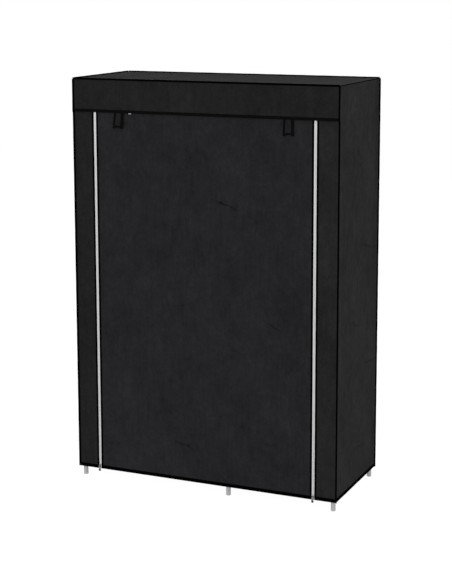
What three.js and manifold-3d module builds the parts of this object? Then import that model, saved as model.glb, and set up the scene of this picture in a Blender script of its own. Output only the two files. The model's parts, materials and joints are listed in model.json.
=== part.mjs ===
// Portable fabric wardrobe: a non-woven cloth cover over a frame of plugged steel tubes.
// Millimetres, +Z up, front towards -Y. The origin is on the floor under the middle of the wardrobe.

import * as THREE from 'three';
import { mergeVertices } from 'three/addons/utils/BufferGeometryUtils.js';
import Module from 'manifold-3d';

const wasm = await Module();
wasm.setup();

// Cover
const coverWidth = 1100;
const coverDepth = 460;
const coverHeight = 1572;
const clothThickness = 1.6;
const seamGap = 0.3;
const valanceHeight = 128;
const valanceThickness = 1.4;

// Frame of tubes
const footReveal = 38;
const postInset = 16;
const middlePostX = 100;
const tubeDiameter = 16;
const tubeWall = 0.9;
const footThickness = 2.5;
const tubeSides = 12;

// Plastic connectors
const plugGap = 0.3;
const socketWall = 2.4;
const socketReach = 40;
const socketFloor = 12;
const hubRadius = 12;
const hubRows = 6;
const bottomRailRise = 26;
const bottomSleeveDrop = 18;
const bottomSleeveRise = 24;

// Hanging rail
const railDrop = 34;
const hookWall = 2.6;
const hookWidth = 16;
const hookSteps = 8;

// Shelves
const shelfSheet = 1.6;
const shelfHem = 1.2;
const clampHeight = 34;
const clampReach = 26;
const clampWall = 2.4;
const shelfTiers = 4;

// Door: a fixed header and a run of bands that roll up forwards
const bandCount = 10;
const rollTopGap = 6.42;
const lastBandShare = 0.46;
const hingeBead = 1.5;
const hingeGap = 0.3;
const beadSides = 8;
const beadInset = 8;
const notchWidth = 7.5;
const notchHeight = 30;

// Zips
const zipInset = 92;
const halfTapeWidth = 6.5;
const halfTapeGap = 0.3;
const tapeThickness = 1.6;
const coilWidth = 2.6;
const coilHeight = 1.4;
const coilTopGap = 2;
const sliderWidth = 11;
const sliderHeight = 15;
const sliderThickness = 2.4;
const sliderRise = 13;
const sliderShoulder = 3.2;
const barRadius = 0.8;
const barStandOff = 2.6;
const earWidth = 1.2;
const earRadius = 1.6;
const pullEye = 1.1;
const pullRing = 2;
const pullEyeWidth = 1.8;
const pullWidth = 5.4;
const pullThickness = 1.4;
const pullLength = 22;
const pullTipWidth = 3.2;
const pullHole = 1.2;
const runGap = 0.3;

// Straps that hold the rolled door
const strapInset = 106;
const strapWidth = 41;
const strapThickness = 1.4;
const strapLength = 62;
const strapHingeDrop = 3;

// Places worked out from the sizes above
const roofTop = footReveal + coverHeight;
const roofUnder = roofTop - clothThickness;
const wallTop = roofUnder - seamGap;
const hemZ = footReveal;
const frontFace = -coverDepth / 2;
const backFace = coverDepth / 2;
const doorPlane = frontFace + clothThickness / 2;
const valanceHemZ = roofTop - valanceHeight;
const tubeRadius = tubeDiameter / 2;
const boreRadius = tubeRadius + plugGap;
const socketRadius = boreRadius + socketWall;
const postX = coverWidth / 2 - postInset;
const postY = coverDepth / 2 - postInset;
const zipCentreX = coverWidth / 2 - zipInset;
const strapX = zipCentreX - strapInset;
const strapHingeZ = valanceHemZ - strapHingeDrop;
const strapTipZ = strapHingeZ - strapLength;
const sliderRestZ = hemZ + sliderRise;
const topRailZ = wallTop - hubRadius;
const bottomRailZ = footReveal + bottomRailRise;
const halfTapeInner = zipCentreX + halfTapeGap / 2;
const halfTapeOuter = halfTapeInner + halfTapeWidth;
const doorHalfWidth = zipCentreX - halfTapeGap / 2;
const coilFace = frontFace - coilHeight;
const sliderBack = coilFace - runGap;
const sliderFront = sliderBack - sliderThickness;
const barY = sliderFront - barStandOff;
const frontMost = barY - pullRing;
const centreShift = (frontFace - frontMost) / 2;

// Colours and finishes of the photographed pieces
const finishes = {
  roofCloth: { color: 0x333333, roughness: 0.92, metalness: 0 },
  sideCloth: { color: 0x2a2a2a, roughness: 0.92, metalness: 0 },
  frontCloth: { color: 0x252527, roughness: 0.92, metalness: 0 },
  doorCloth: { color: 0x262628, roughness: 0.92, metalness: 0 },
  valanceCloth: { color: 0x222224, roughness: 0.92, metalness: 0 },
  strapCloth: { color: 0x1c1c1e, roughness: 0.88, metalness: 0 },
  zipTape: { color: 0xd8d8d8, roughness: 0.8, metalness: 0 },
  zipMetal: { color: 0x6d6d70, roughness: 0.4, metalness: 0.9 },
  steelTube: { color: 0xb8b8b8, roughness: 0.38, metalness: 0.7 },
  plasticBlack: { color: 0x1b1b1c, roughness: 0.5, metalness: 0 },
};

const wardrobe = new THREE.Group();
wardrobe.position.y = centreShift;

// A closed geometry as a solid, with shared corners and faces pointing out.
function solidOf(geometry) {
  const bare = geometry.clone();
  bare.deleteAttribute('normal');
  bare.deleteAttribute('uv');
  const merged = mergeVertices(bare);
  const points = Float32Array.from(merged.attributes.position.array);
  const faces = Uint32Array.from(merged.index.array);
  if (signedVolume(points, faces) < 0) {
    for (let i = 0; i < faces.length; i += 3) {
      [faces[i], faces[i + 1]] = [faces[i + 1], faces[i]];
    }
  }
  return new wasm.Manifold(new wasm.Mesh({ numProp: 3, vertProperties: points, triVerts: faces }));
}

// Six times the volume inside a mesh, negative where its faces point inwards.
function signedVolume(points, faces) {
  const corner = (i) => new THREE.Vector3().fromArray(points, 3 * i);
  let total = 0;
  for (let i = 0; i < faces.length; i += 3) {
    const [a, b, c] = [corner(faces[i]), corner(faces[i + 1]), corner(faces[i + 2])];
    total += a.dot(b.cross(c));
  }
  return total;
}

// A solid back as a geometry.
function geometryOf(solid) {
  const mesh = solid.getMesh();
  const geometry = new THREE.BufferGeometry();
  geometry.setAttribute('position', new THREE.BufferAttribute(Float32Array.from(mesh.vertProperties), 3));
  geometry.setIndex(new THREE.BufferAttribute(Uint32Array.from(mesh.triVerts), 1));
  geometry.computeVertexNormals();
  return geometry;
}

function joined(geometries) {
  return geometries.map(solidOf).reduce((all, next) => all.add(next));
}

function cutFrom(solid, geometries) {
  return geometries.map(solidOf).reduce((all, next) => all.subtract(next), solid);
}

function addPiece(name, geometry, finish) {
  const mesh = new THREE.Mesh(geometry, new THREE.MeshStandardMaterial(finishes[finish]));
  mesh.name = name;
  wardrobe.add(mesh);
  return mesh;
}

// A box from its low corner to its high corner.
function boxBetween(low, high) {
  const size = new THREE.Vector3().subVectors(high, low);
  const box = new THREE.BoxGeometry(size.x, size.y, size.z);
  const middle = new THREE.Vector3().addVectors(low, high).multiplyScalar(0.5);
  return box.translate(middle.x, middle.y, middle.z);
}

const at = (x, y, z) => new THREE.Vector3(x, y, z);

// A round bar from one point to another along one of the axes.
function rod(from, to, radius, sides = tubeSides) {
  const span = new THREE.Vector3().subVectors(to, from);
  const length = span.length();
  const bar = new THREE.CylinderGeometry(radius, radius, length, sides);
  bar.rotateY(Math.PI / sides);
  const turn = new THREE.Quaternion().setFromUnitVectors(at(0, 1, 0), span.clone().normalize());
  bar.applyQuaternion(turn);
  const middle = new THREE.Vector3().addVectors(from, to).multiplyScalar(0.5);
  return bar.translate(middle.x, middle.y, middle.z);
}

// A tube that is open at both ends.
function openTube(from, to) {
  return geometryOf(cutFrom(solidOf(rod(from, to, tubeRadius)), [rod(from, to, tubeRadius - tubeWall)]));
}

// An outline in Y and Z carried along X, between two places.
function alongX(outline, xStart, xEnd) {
  const shape = new THREE.Shape(outline.map(([y, z]) => new THREE.Vector2(y, z)));
  const solid = new THREE.ExtrudeGeometry(shape, { depth: xEnd - xStart, bevelEnabled: false });
  const frame = new THREE.Matrix4().makeBasis(at(0, 1, 0), at(0, 0, 1), at(1, 0, 0));
  return solid.applyMatrix4(frame).translate(xStart, 0, 0);
}

// An outline in X and Z carried along Y, between two places.
function alongY(outline, yStart, yEnd) {
  const shape = new THREE.Shape(outline.map(([x, z]) => new THREE.Vector2(x, z)));
  const solid = new THREE.ExtrudeGeometry(shape, { depth: yEnd - yStart, bevelEnabled: false });
  const frame = new THREE.Matrix4().makeBasis(at(1, 0, 0), at(0, 0, 1), at(0, -1, 0));
  return solid.applyMatrix4(frame).translate(0, yEnd, 0);
}

const sides = { left: -1, right: 1 };
const rows = { front: -1, back: 1 };
const posts = { left: -postX, middle: middlePostX, right: postX };

// Roof, back and sides: flat sewn panels.
function addPanels() {
  const halfWidth = coverWidth / 2;
  addPiece('roof_panel',
    boxBetween(at(-halfWidth, frontFace, roofUnder), at(halfWidth, backFace, roofTop)), 'roofCloth');
  addPiece('back_panel',
    boxBetween(at(-halfWidth, backFace - clothThickness, hemZ), at(halfWidth, backFace, wallTop)),
    'sideCloth');
  const sideFront = frontFace + clothThickness + seamGap;
  const sideBack = backFace - clothThickness - seamGap;
  for (const [side, way] of Object.entries(sides)) {
    const outer = way * halfWidth;
    const inner = way * (halfWidth - clothThickness);
    addPiece(`${side}_side_panel`,
      boxBetween(at(Math.min(outer, inner), sideFront, hemZ), at(Math.max(outer, inner), sideBack, wallTop)),
      'sideCloth');
  }
}

// The two narrow strips beside the door, and the valance that hangs in front of the door's top.
function addFront() {
  const halfWidth = coverWidth / 2;
  const stripInner = halfTapeOuter + seamGap;
  for (const [side, way] of Object.entries(sides)) {
    const ends = [way * stripInner, way * halfWidth];
    addPiece(`front_${side}_strip`,
      boxBetween(at(Math.min(...ends), frontFace, hemZ),
        at(Math.max(...ends), frontFace + clothThickness, wallTop)), 'frontCloth');
  }
  const valanceBack = frontFace - seamGap;
  addPiece('valance',
    boxBetween(at(-halfWidth, valanceBack - valanceThickness, valanceHemZ),
      at(halfWidth, valanceBack, roofTop)), 'valanceCloth');
}

// The door's bands get shorter by even steps, so that the roll winds inside itself.
const bandShares = Array.from({ length: bandCount }, (_, i) => 1 - (1 - lastBandShare) * i / (bandCount - 1));
const bandShareSum = bandShares.reduce((sum, share) => sum + share);
// The rolled door's second band stands up from the first hinge and ends just under the straps.
const secondBandShare = bandShares[1] / bandShareSum;
const rollHingeZ = (strapTipZ - rollTopGap + secondBandShare * hemZ) / (1 + secondBandShare);

function bandLengths() {
  return bandShares.map((share) => (rollHingeZ - hemZ) * share / bandShareSum);
}

// A length of door cloth from top to bottom, with the round bead of its hinge at the lower end.
function doorLength(top, bottom, beaded) {
  const sheet = boxBetween(at(-doorHalfWidth, frontFace, bottom),
    at(doorHalfWidth, frontFace + clothThickness, top));
  if (!beaded) {
    return solidOf(sheet);
  }
  const beadEnd = doorHalfWidth - beadInset;
  return joined([sheet, rod(at(-beadEnd, doorPlane, bottom), at(beadEnd, doorPlane, bottom),
    hingeBead, beadSides)]);
}

function addDoor() {
  addPiece('door_header', geometryOf(doorLength(wallTop, rollHingeZ, true)), 'doorCloth');
  let hingeZ = rollHingeZ;
  bandLengths().forEach((length, i) => {
    const last = i === bandCount - 1;
    const top = hingeZ - hingeBead - hingeGap;
    const bottom = hingeZ - length;
    let band = doorLength(top, bottom, !last);
    if (last) {
      // Room for the closed sliders in the two lower corners
      const notches = Object.values(sides).map((way) => {
        const ends = [way * (doorHalfWidth - notchWidth), way * coverWidth];
        return boxBetween(at(Math.min(...ends), -coverDepth, bottom - notchHeight),
          at(Math.max(...ends), 0, bottom + notchHeight));
      });
      band = cutFrom(band, notches);
    }
    addPiece(`door_band_${String(i + 1).padStart(2, '0')}`, geometryOf(band), 'doorCloth');
    hingeZ = bottom;
  });
}

// The sewn half of each zip: a tape with the raised coil along its inner edge.
function addZipTapes() {
  for (const [side, way] of Object.entries(sides)) {
    const spanX = (a, b) => [Math.min(way * a, way * b), Math.max(way * a, way * b)];
    const [tapeLow, tapeHigh] = spanX(halfTapeInner, halfTapeOuter);
    const [coilLow, coilHigh] = spanX(halfTapeInner, halfTapeInner + coilWidth);
    const tapeBack = frontFace + tapeThickness;
    const tape = boxBetween(at(tapeLow, frontFace, hemZ), at(tapeHigh, tapeBack, wallTop));
    const coil = boxBetween(at(coilLow, coilFace, hemZ), at(coilHigh, tapeBack, valanceHemZ - coilTopGap));
    addPiece(`zip_tape_${side}`, geometryOf(joined([tape, coil])), 'zipTape');
  }
}

// A slider: a waisted plate with two ears that carry a cross bar.
function addSliders() {
  const half = sliderWidth / 2;
  const halfHeight = sliderHeight / 2;
  const waist = half - sliderShoulder / 2;
  const outline = [[-waist, -halfHeight], [waist, -halfHeight], [half, halfHeight - sliderShoulder],
    [waist, halfHeight], [-waist, halfHeight], [-half, halfHeight - sliderShoulder]];
  const earInner = pullEyeWidth / 2 + runGap;
  for (const [side, way] of Object.entries(sides)) {
    const x = way * zipCentreX;
    const plate = alongY(outline.map(([dx, dz]) => [x + dx, sliderRestZ + dz]), sliderFront, sliderBack);
    const ears = [-1, 1].map((end) => {
      const ends = [x + end * earInner, x + end * (earInner + earWidth)];
      return boxBetween(at(Math.min(...ends), barY - earRadius, sliderRestZ - earRadius),
        at(Math.max(...ends), sliderBack - sliderThickness / 2, sliderRestZ + earRadius));
    });
    const barEnd = earInner + earWidth / 2;
    const bar = rod(at(x - barEnd, barY, sliderRestZ), at(x + barEnd, barY, sliderRestZ), barRadius, beadSides);
    addPiece(`zip_slider_${side}`, geometryOf(joined([plate, ...ears, bar])), 'zipMetal');
  }
}

// A pull: an eye round the cross bar and a tapered tab with a small hole.
function addPulls() {
  const half = pullWidth / 2;
  const tipHalf = pullTipWidth / 2;
  const eyeHalf = pullEyeWidth / 2;
  const tabTop = -pullRing - half;
  const outline = [[-tipHalf, -pullLength], [tipHalf, -pullLength], [half, -pullLength + tipHalf],
    [half, tabTop], [eyeHalf, -pullRing], [eyeHalf, -pullEye], [-eyeHalf, -pullEye], [-eyeHalf, -pullRing],
    [-half, tabTop], [-half, -pullLength + tipHalf]];
  for (const [side, way] of Object.entries(sides)) {
    const x = way * zipCentreX;
    const tab = alongY(outline.map(([dx, dz]) => [x + dx, sliderRestZ + dz]),
      barY - pullThickness / 2, barY + pullThickness / 2);
    const eyeFrom = at(x - eyeHalf, barY, sliderRestZ);
    const eyeTo = at(x + eyeHalf, barY, sliderRestZ);
    const holeZ = sliderRestZ - pullLength + pullWidth;
    const cuts = [rod(at(x - half, barY, sliderRestZ), at(x + half, barY, sliderRestZ), pullEye, beadSides),
      rod(at(x, barY - pullThickness, holeZ), at(x, barY + pullThickness, holeZ), pullHole, beadSides)];
    const body = joined([tab, rod(eyeFrom, eyeTo, pullRing, tubeSides)]);
    addPiece(`zip_pull_${side}`, geometryOf(cutFrom(body, cuts)), 'zipMetal');
  }
}

// A strap: a flat band that hangs from its rounded top edge.
function addStraps() {
  const back = frontFace - seamGap;
  const front = back - strapThickness;
  const hingeY = (front + back) / 2;
  for (const [side, way] of Object.entries(sides)) {
    const low = way * strapX - strapWidth / 2;
    const high = way * strapX + strapWidth / 2;
    const sheet = boxBetween(at(low, front, strapTipZ), at(high, back, strapHingeZ));
    const edge = rod(at(low, hingeY, strapHingeZ), at(high, hingeY, strapHingeZ), strapThickness / 2, tubeSides);
    addPiece(`strap_${side}`, geometryOf(joined([sheet, edge])), 'strapCloth');
  }
}

// Uprights: tubes closed at the foot, which stands below the cover.
function addUprights() {
  const top = topRailZ - socketFloor - plugGap;
  for (const [row, depthWay] of Object.entries(rows)) {
    for (const [post, x] of Object.entries(posts)) {
      const y = depthWay * postY;
      const inner = tubeRadius - tubeWall;
      const profile = [[0, 0], [tubeRadius, 0], [tubeRadius, top], [inner, top],
        [inner, footThickness], [0, footThickness]];
      const lathe = new THREE.LatheGeometry(profile.map(([r, z]) => new THREE.Vector2(r, z)), tubeSides);
      lathe.rotateY(Math.PI / tubeSides).rotateX(Math.PI / 2).translate(x, y, 0);
      addPiece(`upright_${row}_${post}`, geometryOf(solidOf(lathe)), 'steelTube');
    }
  }
}

// The ways in which a post's connector holds rails: along X to its neighbours, and along Y inwards.
function railWays(post, depthWay) {
  const ways = [at(0, -depthWay, 0)];
  if (post !== 'left') {
    ways.push(at(-1, 0, 0));
  }
  if (post !== 'right') {
    ways.push(at(1, 0, 0));
  }
  return ways;
}

function socketBetween(centre, way, start, end, radius) {
  return rod(centre.clone().addScaledVector(way, start), centre.clone().addScaledVector(way, end), radius);
}

function hub(centre) {
  const ball = new THREE.SphereGeometry(hubRadius, tubeSides, hubRows);
  return ball.rotateX(Math.PI / 2).translate(centre.x, centre.y, centre.z);
}

// Top connectors: a hub with a socket down over the upright and one for each rail.
function addTopConnectors() {
  const down = at(0, 0, -1);
  for (const [row, depthWay] of Object.entries(rows)) {
    for (const [post, x] of Object.entries(posts)) {
      const centre = at(x, depthWay * postY, topRailZ);
      const ways = [down, ...railWays(post, depthWay)];
      const body = joined([hub(centre), ...ways.map((way) => socketBetween(centre, way, 0, socketReach,
        socketRadius))]);
      const bores = ways.map((way) => socketBetween(centre, way, socketFloor, socketReach + hubRadius,
        boreRadius));
      addPiece(`top_connector_${row}_${post}`, geometryOf(cutFrom(body, bores)), 'plasticBlack');
    }
  }
}

// Bottom connectors: a sleeve that the upright runs through, with a socket for each rail.
function addBottomConnectors() {
  const up = at(0, 0, 1);
  for (const [row, depthWay] of Object.entries(rows)) {
    for (const [post, x] of Object.entries(posts)) {
      const centre = at(x, depthWay * postY, bottomRailZ);
      const ways = railWays(post, depthWay);
      const sleeve = socketBetween(centre, up, -bottomSleeveDrop, bottomSleeveRise, socketRadius);
      const body = joined([sleeve, ...ways.map((way) => socketBetween(centre, way, 0, socketReach,
        socketRadius))]);
      const bores = ways.map((way) => socketBetween(centre, way, socketFloor, socketReach + hubRadius,
        boreRadius));
      bores.push(socketBetween(centre, up, -bottomSleeveDrop - hubRadius, bottomSleeveRise + hubRadius,
        boreRadius));
      addPiece(`bottom_connector_${row}_${post}`, geometryOf(cutFrom(body, bores)), 'plasticBlack');
    }
  }
}

// Rails plugged between connectors: along X at the top, and along Y at the top and the bottom.
function addRails() {
  const setBack = socketFloor + plugGap;
  const bays = { left: [-postX, middlePostX], right: [middlePostX, postX] };
  for (const [row, depthWay] of Object.entries(rows)) {
    for (const [bay, [from, to]] of Object.entries(bays)) {
      const y = depthWay * postY;
      addPiece(`top_rail_${row}_${bay}`,
        openTube(at(from + setBack, y, topRailZ), at(to - setBack, y, topRailZ)), 'steelTube');
    }
  }
  for (const [level, z] of Object.entries({ top: topRailZ, bottom: bottomRailZ })) {
    for (const [post, x] of Object.entries(posts)) {
      addPiece(`${level}_side_rail_${post}`,
        openTube(at(x, -postY + setBack, z), at(x, postY - setBack, z)), 'steelTube');
    }
  }
}

// The hook that hangs the rail from a side rail: over the top, then down on the rail's inner side.
function hookOutline(x, way) {
  const inner = tubeRadius + plugGap;
  const outer = inner + hookWall;
  const ring = (radius, reversed) => Array.from({ length: hookSteps + 1 }, (_, i) => {
    const step = reversed ? i : hookSteps - i;
    const angle = Math.PI * step / hookSteps;
    return [x + way * radius * Math.cos(angle), topRailZ + radius * Math.sin(angle)];
  });
  const foot = topRailZ - railDrop - tubeRadius;
  return [...ring(outer, false), [x + way * outer, foot], [x + way * inner, foot], ...ring(inner, true)];
}

function addHangingRail() {
  const railZ = topRailZ - railDrop;
  const reach = tubeRadius + plugGap + hookWall;
  const start = at(-postX + reach - hookWall, 0, railZ);
  const end = at(middlePostX - reach + hookWall, 0, railZ);
  const hooks = [[-postX, 1], [middlePostX, -1]].map(([x, way]) =>
    alongY(hookOutline(x, way), -hookWidth / 2, hookWidth / 2));
  const bore = rod(at(-postX, 0, railZ), at(middlePostX, 0, railZ), tubeRadius - tubeWall);
  const body = joined([rod(start, end, tubeRadius), ...hooks]);
  addPiece('hanging_rail', geometryOf(cutFrom(body, [bore])), 'steelTube');
}

// A shelf's cloth: a sheet level with the top of two hems that go round its front and back tubes.
function shelfCloth(from, to, z) {
  const hemRadius = tubeRadius + shelfHem;
  const sheet = boxBetween(at(from, -postY, z + hemRadius - shelfSheet), at(to, postY, z + hemRadius));
  const hems = Object.values(rows).map((way) => rod(at(from, way * postY, z), at(to, way * postY, z),
    hemRadius));
  return [sheet, ...hems];
}

function tubeLine(from, to, z, radius) {
  return Object.values(rows).map((way) => rod(at(from, way * postY, z), at(to, way * postY, z), radius));
}

// A bottom shelf: its tubes plug into the bottom connectors.
function addBottomShelf(bay, from, to) {
  const clear = socketReach + plugGap;
  const setBack = socketFloor + plugGap;
  const body = joined([...shelfCloth(from + clear, to - clear, bottomRailZ),
    ...tubeLine(from + setBack, to - setBack, bottomRailZ, tubeRadius)]);
  const bores = tubeLine(from, to, bottomRailZ, tubeRadius - tubeWall);
  addPiece(`shelf_${bay}_bottom`, geometryOf(cutFrom(body, bores)), 'sideCloth');
}

// An upper shelf: its tubes end in clamps that grip the four uprights of the bay.
function addUpperShelf(name, from, to, z) {
  const up = at(0, 0, 1);
  const clampRadius = boreRadius + clampWall;
  const clamps = [];
  const bores = tubeLine(from, to, z, tubeRadius - tubeWall);
  for (const depthWay of Object.values(rows)) {
    for (const [x, way] of [[from, 1], [to, -1]]) {
      const centre = at(x, depthWay * postY, z);
      clamps.push(socketBetween(centre, up, -clampHeight / 2, clampHeight / 2, clampRadius));
      clamps.push(socketBetween(centre, at(way, 0, 0), 0, clampReach, clampRadius));
      bores.push(socketBetween(centre, up, -clampHeight, clampHeight, boreRadius));
    }
  }
  const cloth = shelfCloth(from + clampReach, to - clampReach, z);
  const body = joined([...cloth, ...tubeLine(from, to, z, tubeRadius), ...clamps]);
  addPiece(name, geometryOf(cutFrom(body, bores)), 'sideCloth');
}

function addShelves() {
  addBottomShelf('left', -postX, middlePostX);
  addBottomShelf('right', middlePostX, postX);
  const tierHeight = (topRailZ - bottomRailZ) / shelfTiers;
  ['lower', 'middle', 'upper'].forEach((tier, i) => {
    addUpperShelf(`shelf_right_${tier}`, middlePostX, postX, bottomRailZ + (i + 1) * tierHeight);
  });
}

addPanels();
addFront();
addDoor();
addZipTapes();
addSliders();
addPulls();
addStraps();
addUprights();
addTopConnectors();
addBottomConnectors();
addRails();
addHangingRail();
addShelves();

export default wardrobe;
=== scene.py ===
"""Looks of the portable fabric wardrobe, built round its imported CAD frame.

Metres, +Z up, front towards -Y. Each class is one sub-assembly and reads its places from the CAD nodes.
"""

import json
import logging
import math
from collections.abc import Callable, Sequence
from dataclasses import dataclass, field
from enum import Enum
from functools import partial
from typing import Any, NamedTuple

import bpy
import numpy as np
from mathutils import Matrix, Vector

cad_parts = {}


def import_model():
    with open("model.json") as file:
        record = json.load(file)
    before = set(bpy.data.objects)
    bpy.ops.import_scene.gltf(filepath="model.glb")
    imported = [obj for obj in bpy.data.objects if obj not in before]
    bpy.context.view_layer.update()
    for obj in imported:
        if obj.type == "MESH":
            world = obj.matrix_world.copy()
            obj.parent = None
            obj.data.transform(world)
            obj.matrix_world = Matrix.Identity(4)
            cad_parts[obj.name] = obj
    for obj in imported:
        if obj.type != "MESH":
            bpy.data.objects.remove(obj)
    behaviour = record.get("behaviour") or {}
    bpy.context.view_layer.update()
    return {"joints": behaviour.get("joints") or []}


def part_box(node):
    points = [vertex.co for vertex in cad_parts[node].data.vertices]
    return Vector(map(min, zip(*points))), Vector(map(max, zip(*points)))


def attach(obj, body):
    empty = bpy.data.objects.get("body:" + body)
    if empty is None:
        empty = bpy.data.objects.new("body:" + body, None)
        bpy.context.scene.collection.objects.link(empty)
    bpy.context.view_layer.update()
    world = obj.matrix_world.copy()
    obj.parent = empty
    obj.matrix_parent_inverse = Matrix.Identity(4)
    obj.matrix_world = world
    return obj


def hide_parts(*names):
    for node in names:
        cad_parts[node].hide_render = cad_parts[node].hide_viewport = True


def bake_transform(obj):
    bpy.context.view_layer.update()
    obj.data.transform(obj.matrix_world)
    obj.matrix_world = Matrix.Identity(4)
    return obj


Array = np.ndarray
Pair = tuple[float, float]
Adder = Callable[..., Any]
log = logging.getLogger("wardrobe")

MM = 0.001
CLOTH = 1.0 * MM  # thickness of every cloth
SET_BACK = 0.8 * MM  # from the strips' face back to the door's
HEM_TAPE = 0.45 * MM  # thickness of the tape folded round a hem
TAPE_SUNK = 0.2 * MM  # how far a tape's edges reach into the cloth
STITCH = 2.7 * MM  # length of a stitch
THREAD_HALF = 0.28 * MM  # half its width
STRIP_CELL = 12 * MM  # a mesh's step along a tape
FLAT_MAP = "flat_cloth"
SHARP_DEG = 38.0  # an edge that bends more than this looks sharp
ALONG_X, ALONG_Y, ALONG_Z = np.eye(3)
SIDES = (("left", -1), ("right", 1))  # and which way along X each lies
ROWS = ("front", "back")
POSTS = ("left", "middle", "right")


def linear(code: str) -> tuple[float, float, float, float]:
    """Turns an sRGB colour into the linear one that the shaders take.

    Args:
        code: six hex digits after a hash sign.

    Returns:
        Linear red, green, blue and an alpha of one.
    """
    parts = [int(code[i : i + 2], 16) / 255 for i in (1, 3, 5)]
    red, green, blue = (p / 12.92 if p <= 0.04045 else ((p + 0.055) / 1.055) ** 2.4 for p in parts)
    return red, green, blue, 1.0


def per_metre(size_mm: float) -> float:
    """Returns how often a pattern of a size in millimetres repeats in a metre."""
    return 1 / (size_mm * MM)


def add_node(tree: bpy.types.NodeTree, kind: str, inputs: dict[Any, Any] | None = None,
             **settings: Any) -> bpy.types.NodeOutputs:
    """Adds one node with its settings, and fills its inputs.

    Args:
        tree: the node tree of a material or the world.
        kind: Blender's name of the node type, without the word ShaderNode.
        inputs: for each input's name or number, a value or the socket that it is linked to.
        settings: the node's own properties.

    Returns:
        The new node's outputs.
    """
    node = tree.nodes.new("ShaderNode" + kind)
    for key, value in settings.items():
        setattr(node, key, value)
    for key, value in (inputs or {}).items():
        if isinstance(value, bpy.types.NodeSocket):
            tree.links.new(value, node.inputs[key])
        else:
            node.inputs[key].default_value = value
    return node.outputs


@dataclass(frozen=True)
class Surface:
    """What all finishes have: a material's name, a colour, and the nodes that end the material."""

    name: str
    colour: str

    def material(self) -> bpy.types.Material:
        """Makes the finish's material.

        Returns:
            The new material.
        """
        made = bpy.data.materials.new(self.name)
        made.use_nodes = True
        made.node_tree.nodes.clear()
        self.draw(partial(add_node, made.node_tree))
        return made

    def draw(self, node: Adder) -> None:
        """Adds the finish's own nodes, which each kind of finish does in its way."""
        raise NotImplementedError

    def close(self, node: Adder, tone: Any, shader: dict[str, Any]) -> None:
        """Shades the colour, and links it through the shader to the material's output.

        Args:
            node: adds a node to the material.
            tone: the socket of the tone, which is about one.
            shader: the shader's other inputs.
        """
        shade = node("HueSaturation", {"Color": linear(self.colour), "Value": tone})[0]
        lit = node("BsdfPrincipled", {"Base Color": shade, **shader})[0]
        node("OutputMaterial", {"Surface": lit})


@dataclass(frozen=True)
class Stroke:
    """Painted crease shade on a short fold from packing: its middle on the flat map, length and slant."""

    across: float
    up: float
    length: float
    slant_deg: float
    width: float = 9 * MM
    strength: float = 0.6


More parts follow.
